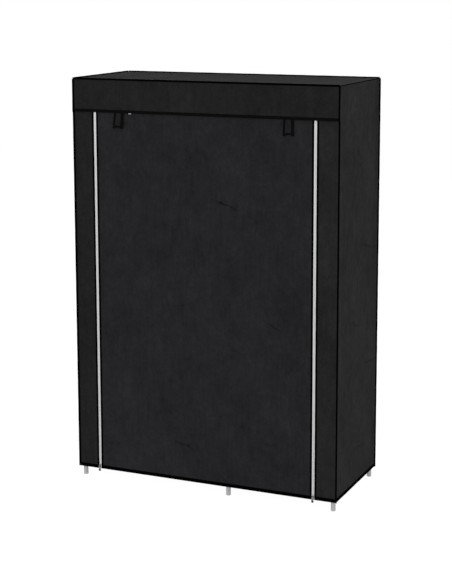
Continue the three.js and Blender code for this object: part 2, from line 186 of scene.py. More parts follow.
@dataclass(frozen=True)
class SpunbondCloth(Surface):
    """Spunbond polypropylene: a thin non-woven cloth of pressed fibres, matt, faintly streaked and crumpled.

    Its pressed dots are about 1.3 mm apart. They are drawn twice as coarse, because finer ones don't show.
    """

    streak_mm: Pair = (9.0, 170.0)
    crumple_mm: float = 150.0
    patch_mm: float = 420.0
    line_mm: float = 62.0
    sway_mm: float = 34.0
    sway_reach: float = 28 * MM
    emboss_mm: float = 2.6
    # How strongly each mark moves the tone: the crumple and fold-line marks are painted shade and light of the
    # relief
    streaks: float = 0.4
    crumple_shading: float = 2.2
    patches: float = 0.4
    fold_line_shade: float = 0.22
    roughness: float = 0.93
    specular: float = 0.05
    sheen: float = 0.01
    shade_strokes: tuple[Stroke, ...] = ()

    def draw(self, node: Adder) -> None:
        """Draws the cloth on the flat map.

        Its tone is the sum of a crumple noise of equal strength in every octave, which paints the shade and
        light of the crumpled relief, long streaks, wide patches and painted shade along fold creases, less an
        ellipse of painted crease shade for each stroke. The crumple noise and the pressed dots also tilt the
        surface.

        Args:
            node: adds a node to the material.
        """
        flat = node("UVMap", uv_map=FLAT_MAP)[0]
        drawn = node("Mapping", {"Vector": flat, "Scale": (*map(per_metre, self.streak_mm), 1.0)})[0]
        streak = node("TexNoise", {"Vector": drawn, "Scale": 1.0, "Detail": 3.0})[0]
        upright = node("Mapping", {"Vector": flat, "Scale": (1.0, 0.66, 1.0)})[0]
        crumple = node("TexNoise", {"Vector": upright, "Scale": per_metre(self.crumple_mm), "Detail": 6.0,
                                    "Roughness": 1.0, "Distortion": 0.1})[0]
        patch = node("TexNoise", {"Vector": flat, "Scale": per_metre(self.patch_mm), "Detail": 1.0})[0]
        sway = node("TexNoise", {"Vector": flat, "Scale": per_metre(self.sway_mm), "Detail": 3.0})[1]
        bent = node("VectorMath", {0: sway, 1: (self.sway_reach,) * 3, 2: flat}, operation="MULTIPLY_ADD")[0]
        fold = node("TexVoronoi", {"Vector": bent, "Scale": per_metre(self.line_mm)},
                    feature="DISTANCE_TO_EDGE")["Distance"]
        # Painted shade of the fold creases: dark along cell edges where the crumple noise is mid-way
        near = node("MapRange", {0: fold, 2: 0.055, 3: 1.0, 4: 0.0})[0]
        where = node("MapRange", {0: crumple, 1: 0.49, 2: 0.54})[0]
        folded = node("Math", {0: near, 1: where}, operation="MULTIPLY")[0]
        marks = [(streak, self.streaks), (crumple, self.crumple_shading), (patch, self.patches),
                 (folded, -self.fold_line_shade)]
        middle = self.sway_reach / 2  # how far the sway moves a place on average
        # Each stroke paints an ellipse of crease shade
        for stroke in self.shade_strokes:
            place = (stroke.across + middle, stroke.up + middle, middle)
            turn = (0.0, 0.0, math.radians(stroke.slant_deg))
            size = (stroke.length / 2, stroke.width / 2, 1.0)
            spot = node("Mapping", {"Vector": bent, "Location": place, "Rotation": turn, "Scale": size},
                        vector_type="TEXTURE")[0]
            dark = node("TexGradient", {"Vector": spot}, gradient_type="SPHERICAL")[1]
            marks.append((dark, -stroke.strength))
        tone: Any = 1 - (self.streaks + self.crumple_shading + self.patches) / 2
        for pattern, strength in marks:
            tone = node("Math", {0: pattern, 1: strength, 2: tone}, operation="MULTIPLY_ADD")[0]
        dimple = node("TexVoronoi", {"Vector": flat, "Scale": per_metre(self.emboss_mm),
                                     "Randomness": 0.15})["Distance"]
        crushed = node("Bump", {"Height": crumple, "Strength": 0.6, "Distance": 6 * MM})[0]
        pressed = node("Bump", {"Height": dimple, "Strength": 0.35, "Distance": 0.3 * MM,
                                "Normal": crushed})[0]
        self.close(node, tone, {"Roughness": self.roughness, "Normal": pressed, "Sheen Weight": self.sheen,
                                "Sheen Roughness": 0.5, "Specular IOR Level": self.specular})


@dataclass(frozen=True)
class PolyesterYarn(Surface):
    """Polyester tape, thread or zip coil: fine ribs along its length, a little smoother than the cloth.

    Its real ribs are about 0.7 mm apart. They are drawn twice as coarse, because finer ones don't show.
    """

    rib_mm: float = 1.4
    weave_mm: float = 2.2
    contrast: float = 0.2
    roughness: float = 0.85
    specular: float = 0.02
    depth: float = 0.15 * MM
    # fade and height give a painted shade: darker by the fade at the floor, gone at the height
    fade: float = 0.0
    height: float = 1.6

    def draw(self, node: Adder) -> None:
        """Draws ribs and slubs on the flat map, with a shallow bump, and a painted shade that greys it towards
        the floor.

        Args:
            node: adds a node to the material.
        """
        place = node("UVMap", uv_map=FLAT_MAP)[0]
        # A wave repeats every 2 pi / 20 of its scaled coordinate
        ribs = node("TexWave", {"Vector": place, "Scale": per_metre(self.rib_mm) * math.pi / 10,
                                "Distortion": 1.5, "Detail": 1.0}, bands_direction="DIAGONAL")[1]
        slub = node("TexNoise", {"Vector": place, "Scale": per_metre(self.weave_mm), "Detail": 2.0})[0]
        rough = node("Math", {0: ribs, 1: slub}, operation="MULTIPLY")[0]
        tone = node("Math", {0: rough, 1: self.contrast, 2: 1 - self.contrast / 4},
                    operation="MULTIPLY_ADD")[0]
        # Painted shade: the tone is dimmed towards the floor
        if self.fade:
            length = node("SeparateXYZ", {0: place})[1]
            painted_low_shade = node("MapRange", {0: length, 2: self.height, 3: 1 - self.fade})[0]
            tone = node("Math", {0: tone, 1: painted_low_shade}, operation="MULTIPLY")[0]
        bump = node("Bump", {"Height": rough, "Strength": 0.4, "Distance": self.depth})[0]
        self.close(node, tone, {"Roughness": self.roughness, "Normal": bump,
                                "Specular IOR Level": self.specular})


@dataclass(frozen=True)
class HardSurface(Surface):
    """Plated, cast or powder-coated metal: it has small pits, and dull patches where it is handled."""

    roughness: float = 0.4
    metallic: float = 0.0
    grain_mm: float = 1.8
    patch_mm: float = 43.2
    details: Pair = (3.0, 2.0)
    dulling: float = 0.18
    shading: float = 0.18
    bump: float = 0.12
    depth: float = 0.08 * MM

    def draw(self, node: Adder) -> None:
        """Draws a grain that tilts the surface, and patches that shade and dull it, on Object coordinates.

        Args:
            node: adds a node to the material.
        """
        place = node("TexCoord")["Object"]
        grain, patch = (node("TexNoise", {"Vector": place, "Scale": per_metre(size), "Detail": detail})[0]
                        for size, detail in zip((self.grain_mm, self.patch_mm), self.details))
        rough, tone = (node("Math", {0: patch, 1: spread, 2: mean - spread / 2}, operation="MULTIPLY_ADD")[0]
                       for mean, spread in ((self.roughness, self.dulling), (1.0, self.shading)))
        bump = node("Bump", {"Height": grain, "Strength": self.bump, "Distance": self.depth})[0]
        self.close(node, tone, {"Metallic": self.metallic, "Roughness": rough, "Normal": bump})


@dataclass(frozen=True)
class MouldedPlastic(HardSurface):
    """Injection-moulded polypropylene: an even skin with a fine spark-eroded grain and slight sink marks."""

    roughness: float = 0.5
    grain_mm: float = 0.9
    patch_mm: float = 14.0
    details: Pair = (2.0, 1.0)
    dulling: float = 0.12
    shading: float = 0.2
    bump: float = 0.2
    depth: float = 0.05 * MM


@dataclass(frozen=True)
class PaperSweep(Surface):
    """Matt background paper, overlit as the photograph's is: plain white, with a mottle that hardly shows."""

    mottle_mm: float = 1000 / 3
    mottle: float = 0.02
    glow: float = 0.98
    roughness: float = 0.9

    def draw(self, node: Adder) -> None:
        """Draws the mottle on Object coordinates.

        Args:
            node: adds a node to the material.
        """
        place = node("TexCoord")["Object"]
        noise = node("TexNoise", {"Vector": place, "Scale": per_metre(self.mottle_mm), "Detail": 2.0})[0]
        tone = node("Math", {0: noise, 1: self.mottle, 2: 1 - self.mottle}, operation="MULTIPLY_ADD")[0]
        self.close(node, tone, {"Roughness": self.roughness, "Specular IOR Level": 0.0,
                                "Emission Color": linear("#ffffff"), "Emission Strength": self.glow})


class Finish(Enum):
    """The finishes of the wardrobe's pieces."""

    # Pressed fibres scatter the light, so each panel is matt, in its own dark tone
    ROOF = SpunbondCloth("spunbond_roof", "#191919")
    # The side's and the door's strokes paint the shade of their creases
    SIDE = SpunbondCloth("spunbond_side", "#1b1b1b", crumple_shading=3.6, patches=0.9, fold_line_shade=0.4, shade_strokes=(
        Stroke(0.15, 0.50, 0.22, -8, 11 * MM, 0.9), Stroke(0.13, 0.965, 0.20, -14, 11 * MM, 0.9),
        Stroke(-0.01, 0.683, 0.16, -17, strength=0.8), Stroke(0.04, 0.178, 0.16, -5),
        Stroke(0.05, 1.30, 0.14, 9)))
    FRONT = SpunbondCloth("spunbond_front", "#1c1c1d")
    # A lighter copy of the front cloth: painted light on the right strip
    RIGHT_STRIP = SpunbondCloth("spunbond_right_strip", "#1f1f20")
    DOOR = SpunbondCloth("spunbond_door", "#202022", shade_strokes=(
        Stroke(0.095, 1.148, 0.13, -19, strength=0.8), Stroke(0.297, 0.691, 0.11, -22),
        Stroke(0.142, 0.583, 0.09, -10, strength=0.4), Stroke(-0.09, 0.745, 0.13, 5, strength=0.4),
        Stroke(-0.088, 0.184, 0.11, -12), Stroke(0.287, 0.235, 0.08, 12, strength=0.4)))
    VALANCE = SpunbondCloth("spunbond_valance", "#1c1c1c")
    STRAP = SpunbondCloth("spunbond_strap", "#1b1b1c")
    SHELF = SpunbondCloth("spunbond_shelf", "#29292b")
    # The tapes draw a deep black line round every panel, and the thread a fainter one on it
    BINDING = PolyesterYarn("woven_binding", "#030303", specular=0.0)
    SOFT_BINDING = PolyesterYarn("soft_binding", "#0c0c0c", specular=0.0)
    THREAD = PolyesterYarn("sewing_thread", "#0e0e0f", rib_mm=0.8, specular=0.0)
    # The zips are the only white, with a painted shade that greys them a little low down. The moulded coil
    # gleams
    ZIP_TAPE = PolyesterYarn("woven_zip_tape", "#d1d1d1", contrast=0.1, roughness=0.8, specular=0.1,
                             fade=0.14)
    ZIP_COIL = PolyesterYarn("nylon_zip_coil", "#d8d8d8", contrast=0.1, roughness=0.5, specular=0.2,
                             fade=0.14)
    # Plated and cast zinc and bright nickel mirror softly, while a powder coat is only satin
    ZIP_METAL = HardSurface("plated_zinc", "#bebec0", 0.36, 1.0)
    NICKEL = HardSurface("bright_nickel", "#9d9d9b", 0.3, 1.0)
    PULL = HardSurface("cast_zinc_pull", "#7c7c7b", 0.34, 1.0)
    TUBE = HardSurface("powder_coated_steel", "#a6a6a6", 0.42, grain_mm=1.1, patch_mm=26.4)
    # Moulded plastic is dull and even
    CAP = MouldedPlastic("pale_foot_sleeve", "#a8a8a8")
    # The dark tip's plastic also makes the slider's plate of painted shade
    TIP = MouldedPlastic("dark_pull_tip", "#0e0e0f")
    CONNECTOR = MouldedPlastic("black_connector", "#1b1b1c", 0.48)
    FLOOR = PaperSweep("white_paper_floor", "#595959")

    def material(self) -> bpy.types.Material:
        """Returns the finish's material, made when it is first asked for."""
        return bpy.data.materials.get(self.value.name) or self.value.material()


class Box(NamedTuple):
    """The lowest and the highest corner round some CAD nodes."""

    low: Array
    high: Array

    @property
    def middle(self) -> Array:
        """Returns the box's middle."""
        return (self.low + self.high) / 2

    @property
    def size(self) -> Array:
        """Returns the box's three sizes."""
        return self.high - self.low


class Bend(NamedTuple):
    """A bend over a joint: the bodies on both sides, where a piece leaves one and where it joins the other."""

    above: str
    below: str
    start: Sequence[float]
    end: Sequence[float]


def node_box(*nodes: str) -> Box:
    """Returns the box round some CAD nodes."""
    lows, highs = zip(*(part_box(node) for node in nodes))
    return Box(np.min(lows, axis=0), np.max(highs, axis=0))


def steps(start: float, end: float, cell: float) -> Array:
    """Returns evenly spaced places from start to end, about a cell apart."""
    return np.linspace(start, end, max(2, round(abs(end - start) / cell) + 1))


def ease(t: Array) -> Array:
    """Returns the smooth step of t: 0 below 0, 1 above 1, and 3t^2 - 2t^3 between."""
    t = np.clip(t, 0.0, 1.0)
    return t * t * (3 - 2 * t)


def line(x: Any, y: Any, z: Any) -> Array:
    """Returns (..., 3) places from their coordinates, each an array or one number for all."""
    return np.stack(np.broadcast_arrays(x, y, z), -1).astype(float)


def rectangle(left: float, low: float, right: float, high: float) -> Array:
    """Returns a rectangle's corners, from sizes in millimetres."""
    return np.array([[left, low], [right, low], [right, high], [left, high]]) * MM


def mirrored(half: Array, shift: int = 0) -> Array:
    """Returns a half outline followed by its mirror image backwards, shifted along by some points."""
    return np.roll(np.concatenate([half, half[::-1] * [-1, 1]]), shift, 0)


def rounded(points: Array, radius: float, sides: int = 4) -> Array:
    """Rounds the corners of an outline.

    Each corner becomes the quadratic curve from a radius before it to a radius after it, drawn towards the
    corner. The curve takes less than half of either side.

    Args:
        points: (n, 2) corners in order.
        radius: how far each rounding reaches.
        sides: steps in each corner.

    Returns:
        The rounded outline.
    """
    ways = [np.roll(points, shift, 0) - points for shift in (1, -1)]
    start, end = (points + way * np.minimum(radius / np.linalg.norm(way, axis=1, keepdims=True), 0.45)
                  for way in ways)
    t = np.linspace(0, 1, sides + 1)[:, None]
    curve = (1 - t) ** 2 * start[:, None] + 2 * t * (1 - t) * points[:, None] + t**2 * end[:, None]
    return curve.reshape(-1, 2)


class Way(Enum):
    """The way that a cover panel faces: its normal, and the axes across it and up it."""

    FRONT = ((0, -1, 0), 0, 2)
    BACK = ((0, 1, 0), 0, 2)
    LEFT = ((-1, 0, 0), 1, 2)
    RIGHT = ((1, 0, 0), 1, 2)
    UP = ((0, 0, 1), 0, 1)

    @property
    def normal(self) -> Array:
        """Returns the unit vector that points out of the panel."""
        return np.array(self.value[0], float)

    @property
    def axes(self) -> tuple[int, int, int]:
        """Returns the axis along the normal, the one across and the one up."""
        return int(np.argmax(np.abs(self.normal))), self.value[1], self.value[2]

    def face(self, box: Box) -> float:
        """Returns the place of a box's outer face along the normal's axis."""
        deep = self.axes[0]
        return box.high[deep] if self.normal[deep] > 0 else box.low[deep]


@dataclass
class Shape:
    """A mesh in the making: closed parts of points and faces, each point with its place on a flat map."""

    sides: int = 32
    points: list[Array] = field(default_factory=list)
    flat: list[Array] = field(default_factory=list)
    faces: list[list[int]] = field(default_factory=list)
    count: int = 0

    def add(self, points: Array, faces: list[Array], flat: Array) -> "Shape":
        """Adds a closed part, turned so that its faces point outwards.

        Six times the volume is the sum over triangles of a dot (b cross c), negative where the part is
        inside out.

        Args:
            points: (n, 3) places.
            faces: index arrays, one row for each face.
            flat: (n, 2) places on the flat map, in metres.

        Returns:
            This shape.
        """
        volume = 0.0
        for rows in faces:
            for k in range(1, rows.shape[1] - 1):
                a, b, c = (points[rows[:, i]] for i in (0, k, k + 1))
                volume += float((a * np.cross(b, c)).sum())
        for rows in faces:
            self.faces += ((rows if volume > 0 else rows[:, ::-1]) + self.count).tolist()
        self.points.append(points)
        self.flat.append(flat)
        self.count += len(points)
        return self

    def slab(self, outer: Array, inner: Array, flat: Array) -> "Shape":
        """Adds a sheet with a thickness: two grids joined all round by a rim.

        Args:
            outer: (rows, columns, 3) places of the face that shows.
            inner: the same grid, a thickness behind it.
            flat: (rows, columns, 2) places on the flat map.

        Returns:
            This shape.
        """
        rows, columns = outer.shape[:2]
        index = np.arange(rows * columns).reshape(rows, columns)
        quads = np.stack([index[:-1, :-1], index[:-1, 1:], index[1:, 1:], index[1:, :-1]], -1).reshape(-1, 4)
        ring = np.concatenate([index[0, :-1], index[:-1, -1], index[-1, :0:-1], index[:0:-1, 0]])
        shift = rows * columns
        rim = np.stack([ring, ring + shift, np.roll(ring, -1) + shift, np.roll(ring, -1)], -1)
        points = np.concatenate([outer.reshape(-1, 3), inner.reshape(-1, 3)])
        both = np.concatenate([flat.reshape(-1, 2)] * 2)
        return self.add(points, [quads, quads[:, ::-1] + shift, rim], both)

    def cloth(self, way: Way, face: float, across: Array, up: Array,
              depth: Callable[[Array, Array], Array]) -> "Shape":
        """Adds a panel of cloth. A point lies at its place across and up, and its depth behind the flat face.

        Args:
            way: the way that the panel faces.
            face: the flat face's place along the normal's axis.
            across: places across the panel.
            up: places up the panel.
            depth: gives how far the face stands back at places across and up.

        Returns:
            This shape.
        """
        deep, wide, tall = way.axes
        u, v = np.meshgrid(across, up)
        outer = np.zeros((*u.shape, 3))
        outer[..., wide], outer[..., tall] = u, v
        outer[..., deep] = face - way.normal[deep] * depth(u, v)
        return self.slab(outer, outer - way.normal * CLOTH, np.stack([u, v], -1))

    def loft(self, rings: Array, wrap: bool = False, along: Array | None = None) -> "Shape":
        """Adds a skin over closed rings, capped at both ends or wrapped round to the first ring.

        On the flat map a point lies at its length round the ring and along the rings' middles.

        Args:
            rings: (rings, points on a ring, 3) places.
            wrap: whether the last ring joins the first.
            along: each ring's place along the flat map, where it isn't counted from the first ring.

        Returns:
            This shape.
        """
        count, sides = rings.shape[:2]
        index = np.arange(count * sides).reshape(count, sides)
        above = np.roll(index, -1, 0) if wrap else index[1:]
        below = index if wrap else index[:-1]
        quads = np.stack([below, np.roll(below, -1, 1), np.roll(above, -1, 1), above], -1).reshape(-1, 4)
        faces = [quads] if wrap else [quads, index[:1, ::-1], index[-1:]]
        if along is None:
            gaps = np.linalg.norm(np.diff(rings.mean(1), axis=0), axis=1)
            along = np.concatenate([[0.0], gaps.cumsum()])
        around = np.linalg.norm(np.roll(rings, -1, 1) - rings, axis=2).cumsum(1)
        flat = np.stack([around, np.broadcast_to(along[:, None], around.shape)], -1)
        return self.add(rings.reshape(-1, 3), faces, flat.reshape(-1, 2))

    def band(self, centre: Array, width: float, thick: float, out: Array = -ALONG_Y, across: Array = ALONG_X,
             along: Array | None = None) -> "Shape":
        """Adds a flat tape along a path.

        Its cross-section is a rectangle whose outer corners are rounded by a quarter circle of its thickness.

        Args:
            centre: (n, 3) the middle of the tape's underside.
            width: the tape's width.
            thick: the tape's thickness.
            out: the way that the tape faces.
            across: the way across the tape.
            along: as for loft.

        Returns:
            This shape.
        """
        turn = np.linspace(0, math.pi / 2, 4)
        right = np.stack([width / 2 - thick + thick * np.cos(turn), thick * np.sin(turn)], -1)
        profile = mirrored(np.concatenate([[[width / 2, -TAPE_SUNK]], right]))
        rings = centre[:, None, :] + profile[:, :1] * across + profile[:, 1:] * out
        return self.loft(rings, along=along)

    def turn(self, axis: int, profile: Array, centre: Sequence[float], wrap: bool = False) -> "Shape":
        """Adds a profile turned round an axis. Each ring has its radius, at its place along the axis.

        Args:
            axis: 0, 1 or 2 for X, Y or Z.
            profile: (n, 2) radius and place along the axis.
            centre: where the axis stands, whose own coordinate along the axis isn't used.
            wrap: whether the last ring joins the first.

        Returns:
            This shape.
        """
        angle = np.arange(self.sides) * 2 * math.pi / self.sides
        rings = np.empty((len(profile), self.sides, 3))
        one, two = [i for i in range(3) if i != axis]
        rings[..., axis] = profile[:, 1:2]
        rings[..., one] = centre[one] + profile[:, :1] * np.cos(angle)
        rings[..., two] = centre[two] + profile[:, :1] * np.sin(angle)
        return self.loft(rings, wrap)

    def tube(self, axis: int, low: float, high: float, radius: float, wall: float, centre: Sequence[float],
             lip: float = 0.4 * MM) -> "Shape":
        """Adds a pipe that is open at both ends, with rounded lips.

        Args:
            axis: 0, 1 or 2 for X, Y or Z.
            low: where it starts along its axis.
            high: where it ends.
            radius: outside radius.
            wall: thickness.
            centre: as for turn.
            lip: radius of the lips' rounding.

        Returns:
            This shape.
        """
        inner = radius - wall
        profile = [[radius - lip, low], [radius, low + lip], [radius, high - lip], [radius - lip, high],
                   [inner + lip / 2, high], [inner, high - lip], [inner, low + lip], [inner + lip / 2, low]]
        return self.turn(axis, np.array(profile), centre, wrap=True)

    def plate(self, outline: Array, low: float, high: float, bevel: float,
              hole: tuple[Array, float] | None = None) -> "Shape":
        """Adds a plate that stands across Y. Its outline is drawn in by the bevel at both faces.

        Args:
            outline: (n, 2) places in X and Z.
            low: its front along Y.
            high: its back.
            bevel: the bevel's size.
            hole: the middle and radius of a round hole.

        Returns:
            This shape.
        """
        middle = hole[0] if hole else outline.mean(0)
        arm = outline - middle
        reach = np.linalg.norm(arm, axis=1, keepdims=True)
        drawn_in = middle + arm * (1 - bevel / reach)
        loops = [(drawn_in, low), (outline, low + bevel), (outline, high - bevel), (drawn_in, high)]
        if hole:
            rim = middle + hole[1] * arm / reach
            loops += [(rim, high), (rim, low)]
        rings = np.stack([line(loop[:, 0], y, loop[:, 1]) for loop, y in loops])
        return self.loft(rings, wrap=hole is not None)

    def blocks(self, centres: Array, halves: Array, top: float = 0.6, towards: Array = -ALONG_Y) -> "Shape":
        """Adds many small blocks, such as stitches or zip teeth, each narrower on the side that shows.

        Args:
            centres: (n, 3) middles.
            halves: three half sizes along X, Y and Z.
            top: how wide the narrow side is, as a share.
            towards: the way that the narrow side faces, along one axis.

        Returns:
            This shape.
        """
        signs = np.array([[x, y, z] for x in (-1, 1) for y in (-1, 1) for z in (-1, 1)], float)
        narrow = (signs @ towards > 0)[:, None] & (towards == 0)
        points = (centres[:, None, :] + signs * np.where(narrow, top, 1.0) * halves).reshape(-1, 3)
        box = np.array([[0, 1, 3, 2], [4, 6, 7, 5], [0, 4, 5, 1], [2, 3, 7, 6], [0, 2, 6, 4], [1, 5, 7, 3]])
        faces = (box + 8 * np.arange(len(centres))[:, None, None]).reshape(-1, 4)
        return self.add(points, [faces], points[:, [0, 2]] + points[:, [1]] * [1, 0])

    def stitches(self, base: Sequence[float], axis: int, ends: Sequence[float], towards: Array = -ALONG_Y,
                 pitch: float = 4 * MM, bend: Callable[[Array], Array] | None = None) -> "Shape":
        """Adds a row of stitches along one axis, each in the middle of its share of the row.

        Args:
            base: a point of the row, nought along the axis.
            axis: 0, 1 or 2 for X, Y or Z.
            ends: where the row starts and ends along the axis.
            towards: the way that the stitches face.
            pitch: from stitch to stitch.
            bend: moves places as the cloth under them is moved.

        Returns:
            This shape.
        """
        run = ends[1] - ends[0]
        count = max(1, int(abs(run) / pitch))
        middles = np.tile(np.asarray(base, float), (count, 1))
        middles[:, axis] = ends[0] + run * ((np.arange(count) + 0.5) / count)
        halves = np.where(np.arange(3) == axis, STITCH / 2, THREAD_HALF)
        return self.blocks(bend(middles) if bend else middles, halves, towards=towards)

    def made(self, name: str, finish: Finish) -> bpy.types.Object:
        """Makes the object at the origin, with its flat map, smooth shading with sharp edges, and its finish.

        Args:
            name: the piece's name.
            finish: what it is made of.

        Returns:
            The object.
        """
        mesh = bpy.data.meshes.new(name)
        mesh.from_pydata(np.concatenate(self.points).tolist(), [], self.faces)
        flat = np.concatenate(self.flat)
        corner = np.empty(len(mesh.loops), np.int32)
        mesh.loops.foreach_get("vertex_index", corner)
        mesh.uv_layers.new(name=FLAT_MAP).data.foreach_set("uv", flat[corner].astype(np.float32).ravel())
        mesh.shade_smooth()
        mesh.set_sharp_from_angle(angle=math.radians(SHARP_DEG))
        mesh.materials.append(finish.material())
        obj = bpy.data.objects.new(name, mesh)
        bpy.context.scene.collection.objects.link(obj)
        log.info("%s: %d faces, %s", name, len(mesh.polygons), finish.value.name)
        return obj

    def piece(self, name: str, finish: Finish, slot: str, nodes: Sequence[str] = (),
              body: str | Bend = "root") -> bpy.types.Object:
        """Makes the object, ties it to its CAD body or bakes its place over a bend, and hides its nodes.

        Args:
            name: the piece's name.
            finish: what it is made of.
            slot: the record's material slot; not used.
            nodes: the CAD nodes that it replaces.
            body: the CAD body that it moves with, or its bend between two, over which it only keeps its place.

        Returns:
            The object.
        """
        obj = self.made(name, finish)
        if isinstance(body, Bend):
            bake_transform(obj)
        else:
            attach(obj, body)
        if nodes:
            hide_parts(*nodes)
        return obj


def folded_hem(way: Way, face: float, places: Array, up: Pair, rise: Array | float = 0.0,
               forward: Callable[[Array], Array] = np.zeros_like) -> tuple[Shape, Shape]:
    """Works out a hem: a band folded round the cloth's lower edge, and its row of stitches.

    The band's cross-section is a U round the edge: flat on both faces and rounded below.

    Args:
        way: the way that the cloth faces.
        face: the cloth face's place along the normal's axis.
        places: places across the cloth, from one end of the hem to the other.
        up: the band's lowest and highest edge.
        rise: how far the band is lifted at each place.
        forward: gives how far the cloth stands forward at places across.

    Returns:
        The band and the stitches.
    """
    deep, wide, tall = way.axes
    low, high = up
    half = CLOTH / 2 + HEM_TAPE
    turn = np.linspace(0, math.pi, 7)[1:-1]
    under = np.stack([half * np.cos(turn) - CLOTH / 2, low + half - HEM_TAPE - half * np.sin(turn)], -1)
    lip = np.array([[HEM_TAPE - 0.2 * MM, high], [HEM_TAPE, high - 0.3 * MM]])
    profile = np.concatenate([lip, under, lip[::-1] * [-1, 1] - [CLOTH, 0]])
    rings = np.zeros((len(places), len(profile), 3))
    rings[..., wide] = places[:, None]
    rings[..., deep] = face + way.normal[deep] * (profile[:, 0] + forward(places)[:, None])
    rings[..., tall] = profile[:, 1] + np.reshape(rise, (-1, 1))
    row = np.zeros(3)
    row[deep], row[tall] = face + way.normal[deep] * (HEM_TAPE + 0.05 * MM), high - 1.6 * MM
    seam = Shape().stitches(row, wide, (places[0], places[-1]), way.normal,
                            bend=lambda p: p + forward(p[:, wide])[:, None] * way.normal)
    return Shape().loft(rings), seam


@dataclass(frozen=True)
class Crease:
    """A short soft fold: a ridge with a valley beside it, fading at both ends."""

    start: Pair
    end: Pair
    depth: float = 1.1 * MM
    width: float = 9 * MM

    def height(self, u: Array, v: Array) -> Array:
        """Gives the fold's height over a panel.

        Across the fold it is d times exp(-d^2), with d the distance in widths, and it fades past the ends.

        Args:
            u: places across the panel.
            v: places up the panel.

        Returns:
            Heights, positive on the ridge's side.
        """
        run = np.subtract(self.end, self.start)
        length = float(np.hypot(*run))
        right, above = u - self.start[0], v - self.start[1]
        along = (right * run[0] + above * run[1]) / length
        across = (above * run[0] - right * run[1]) / length / self.width
        past = np.maximum(np.maximum(-along, along - length), 0) / (0.35 * length)
        return self.depth * 2.33 * across * np.exp(-(across**2) - past**2)


@dataclass(frozen=True)
class Hang:
    """How a hung panel leaves its flat plane: soft waves across it, a slack middle and a few creases."""

    wave: float = 0.7 * MM
    pitch: float = 0.19
    slack: float = 0.8 * MM
    phase: float = 0.0
    back: float = 1.1 * MM
    fade: float = 40 * MM
    creases: tuple[Crease, ...] = ()

    def depth(self, u: Array, v: Array, foot: float | None = None, head: float | None = None) -> Array:
        """Gives how far the cloth stands back from its flat plane.

        The wave is the mean of three sines across the panel, whose phases drift up it, lifted so that it
        never stands forward. The slack is a product of sine arches. All fade to nothing near the edges.

        Args:
            u: places across the panel.
            v: places up the panel.
            foot: the panel's low edge, where it isn't the lowest place.
            head: its high edge, where it isn't the highest place.

        Returns:
            Depths in metres.
        """
        left, right = u.min(), u.max()
        foot, head = v.min() if foot is None else foot, v.max() if head is None else head
        turn = 2 * math.pi / self.pitch
        drift = 0.9 * np.sin(2.3 * v + self.phase)
        waves = (np.sin(turn * u + drift + self.phase)
                 + 0.6 * np.sin(1.71 * turn * u - 1.4 * drift + 2.1 + self.phase)
                 + 0.4 * np.sin(2.93 * turn * u + 2.2 * drift + 4.0)) / 4 + 0.5
        across = np.clip((u - left) / (right - left), 0, 1)
        upward = np.clip((v - foot) / (head - foot), 0, 1)
        arch = np.sin(math.pi * across) * np.sin(math.pi * upward)
        folds = sum((crease.height(u, v) for crease in self.creases), np.zeros(u.shape))
        edge = np.minimum(np.minimum(u - left, right - u), np.minimum(v - foot, head - v))
        deep = self.wave * waves + self.slack * arch + folds + self.back
        return ease(edge / self.fade) * np.maximum(deep, 0)


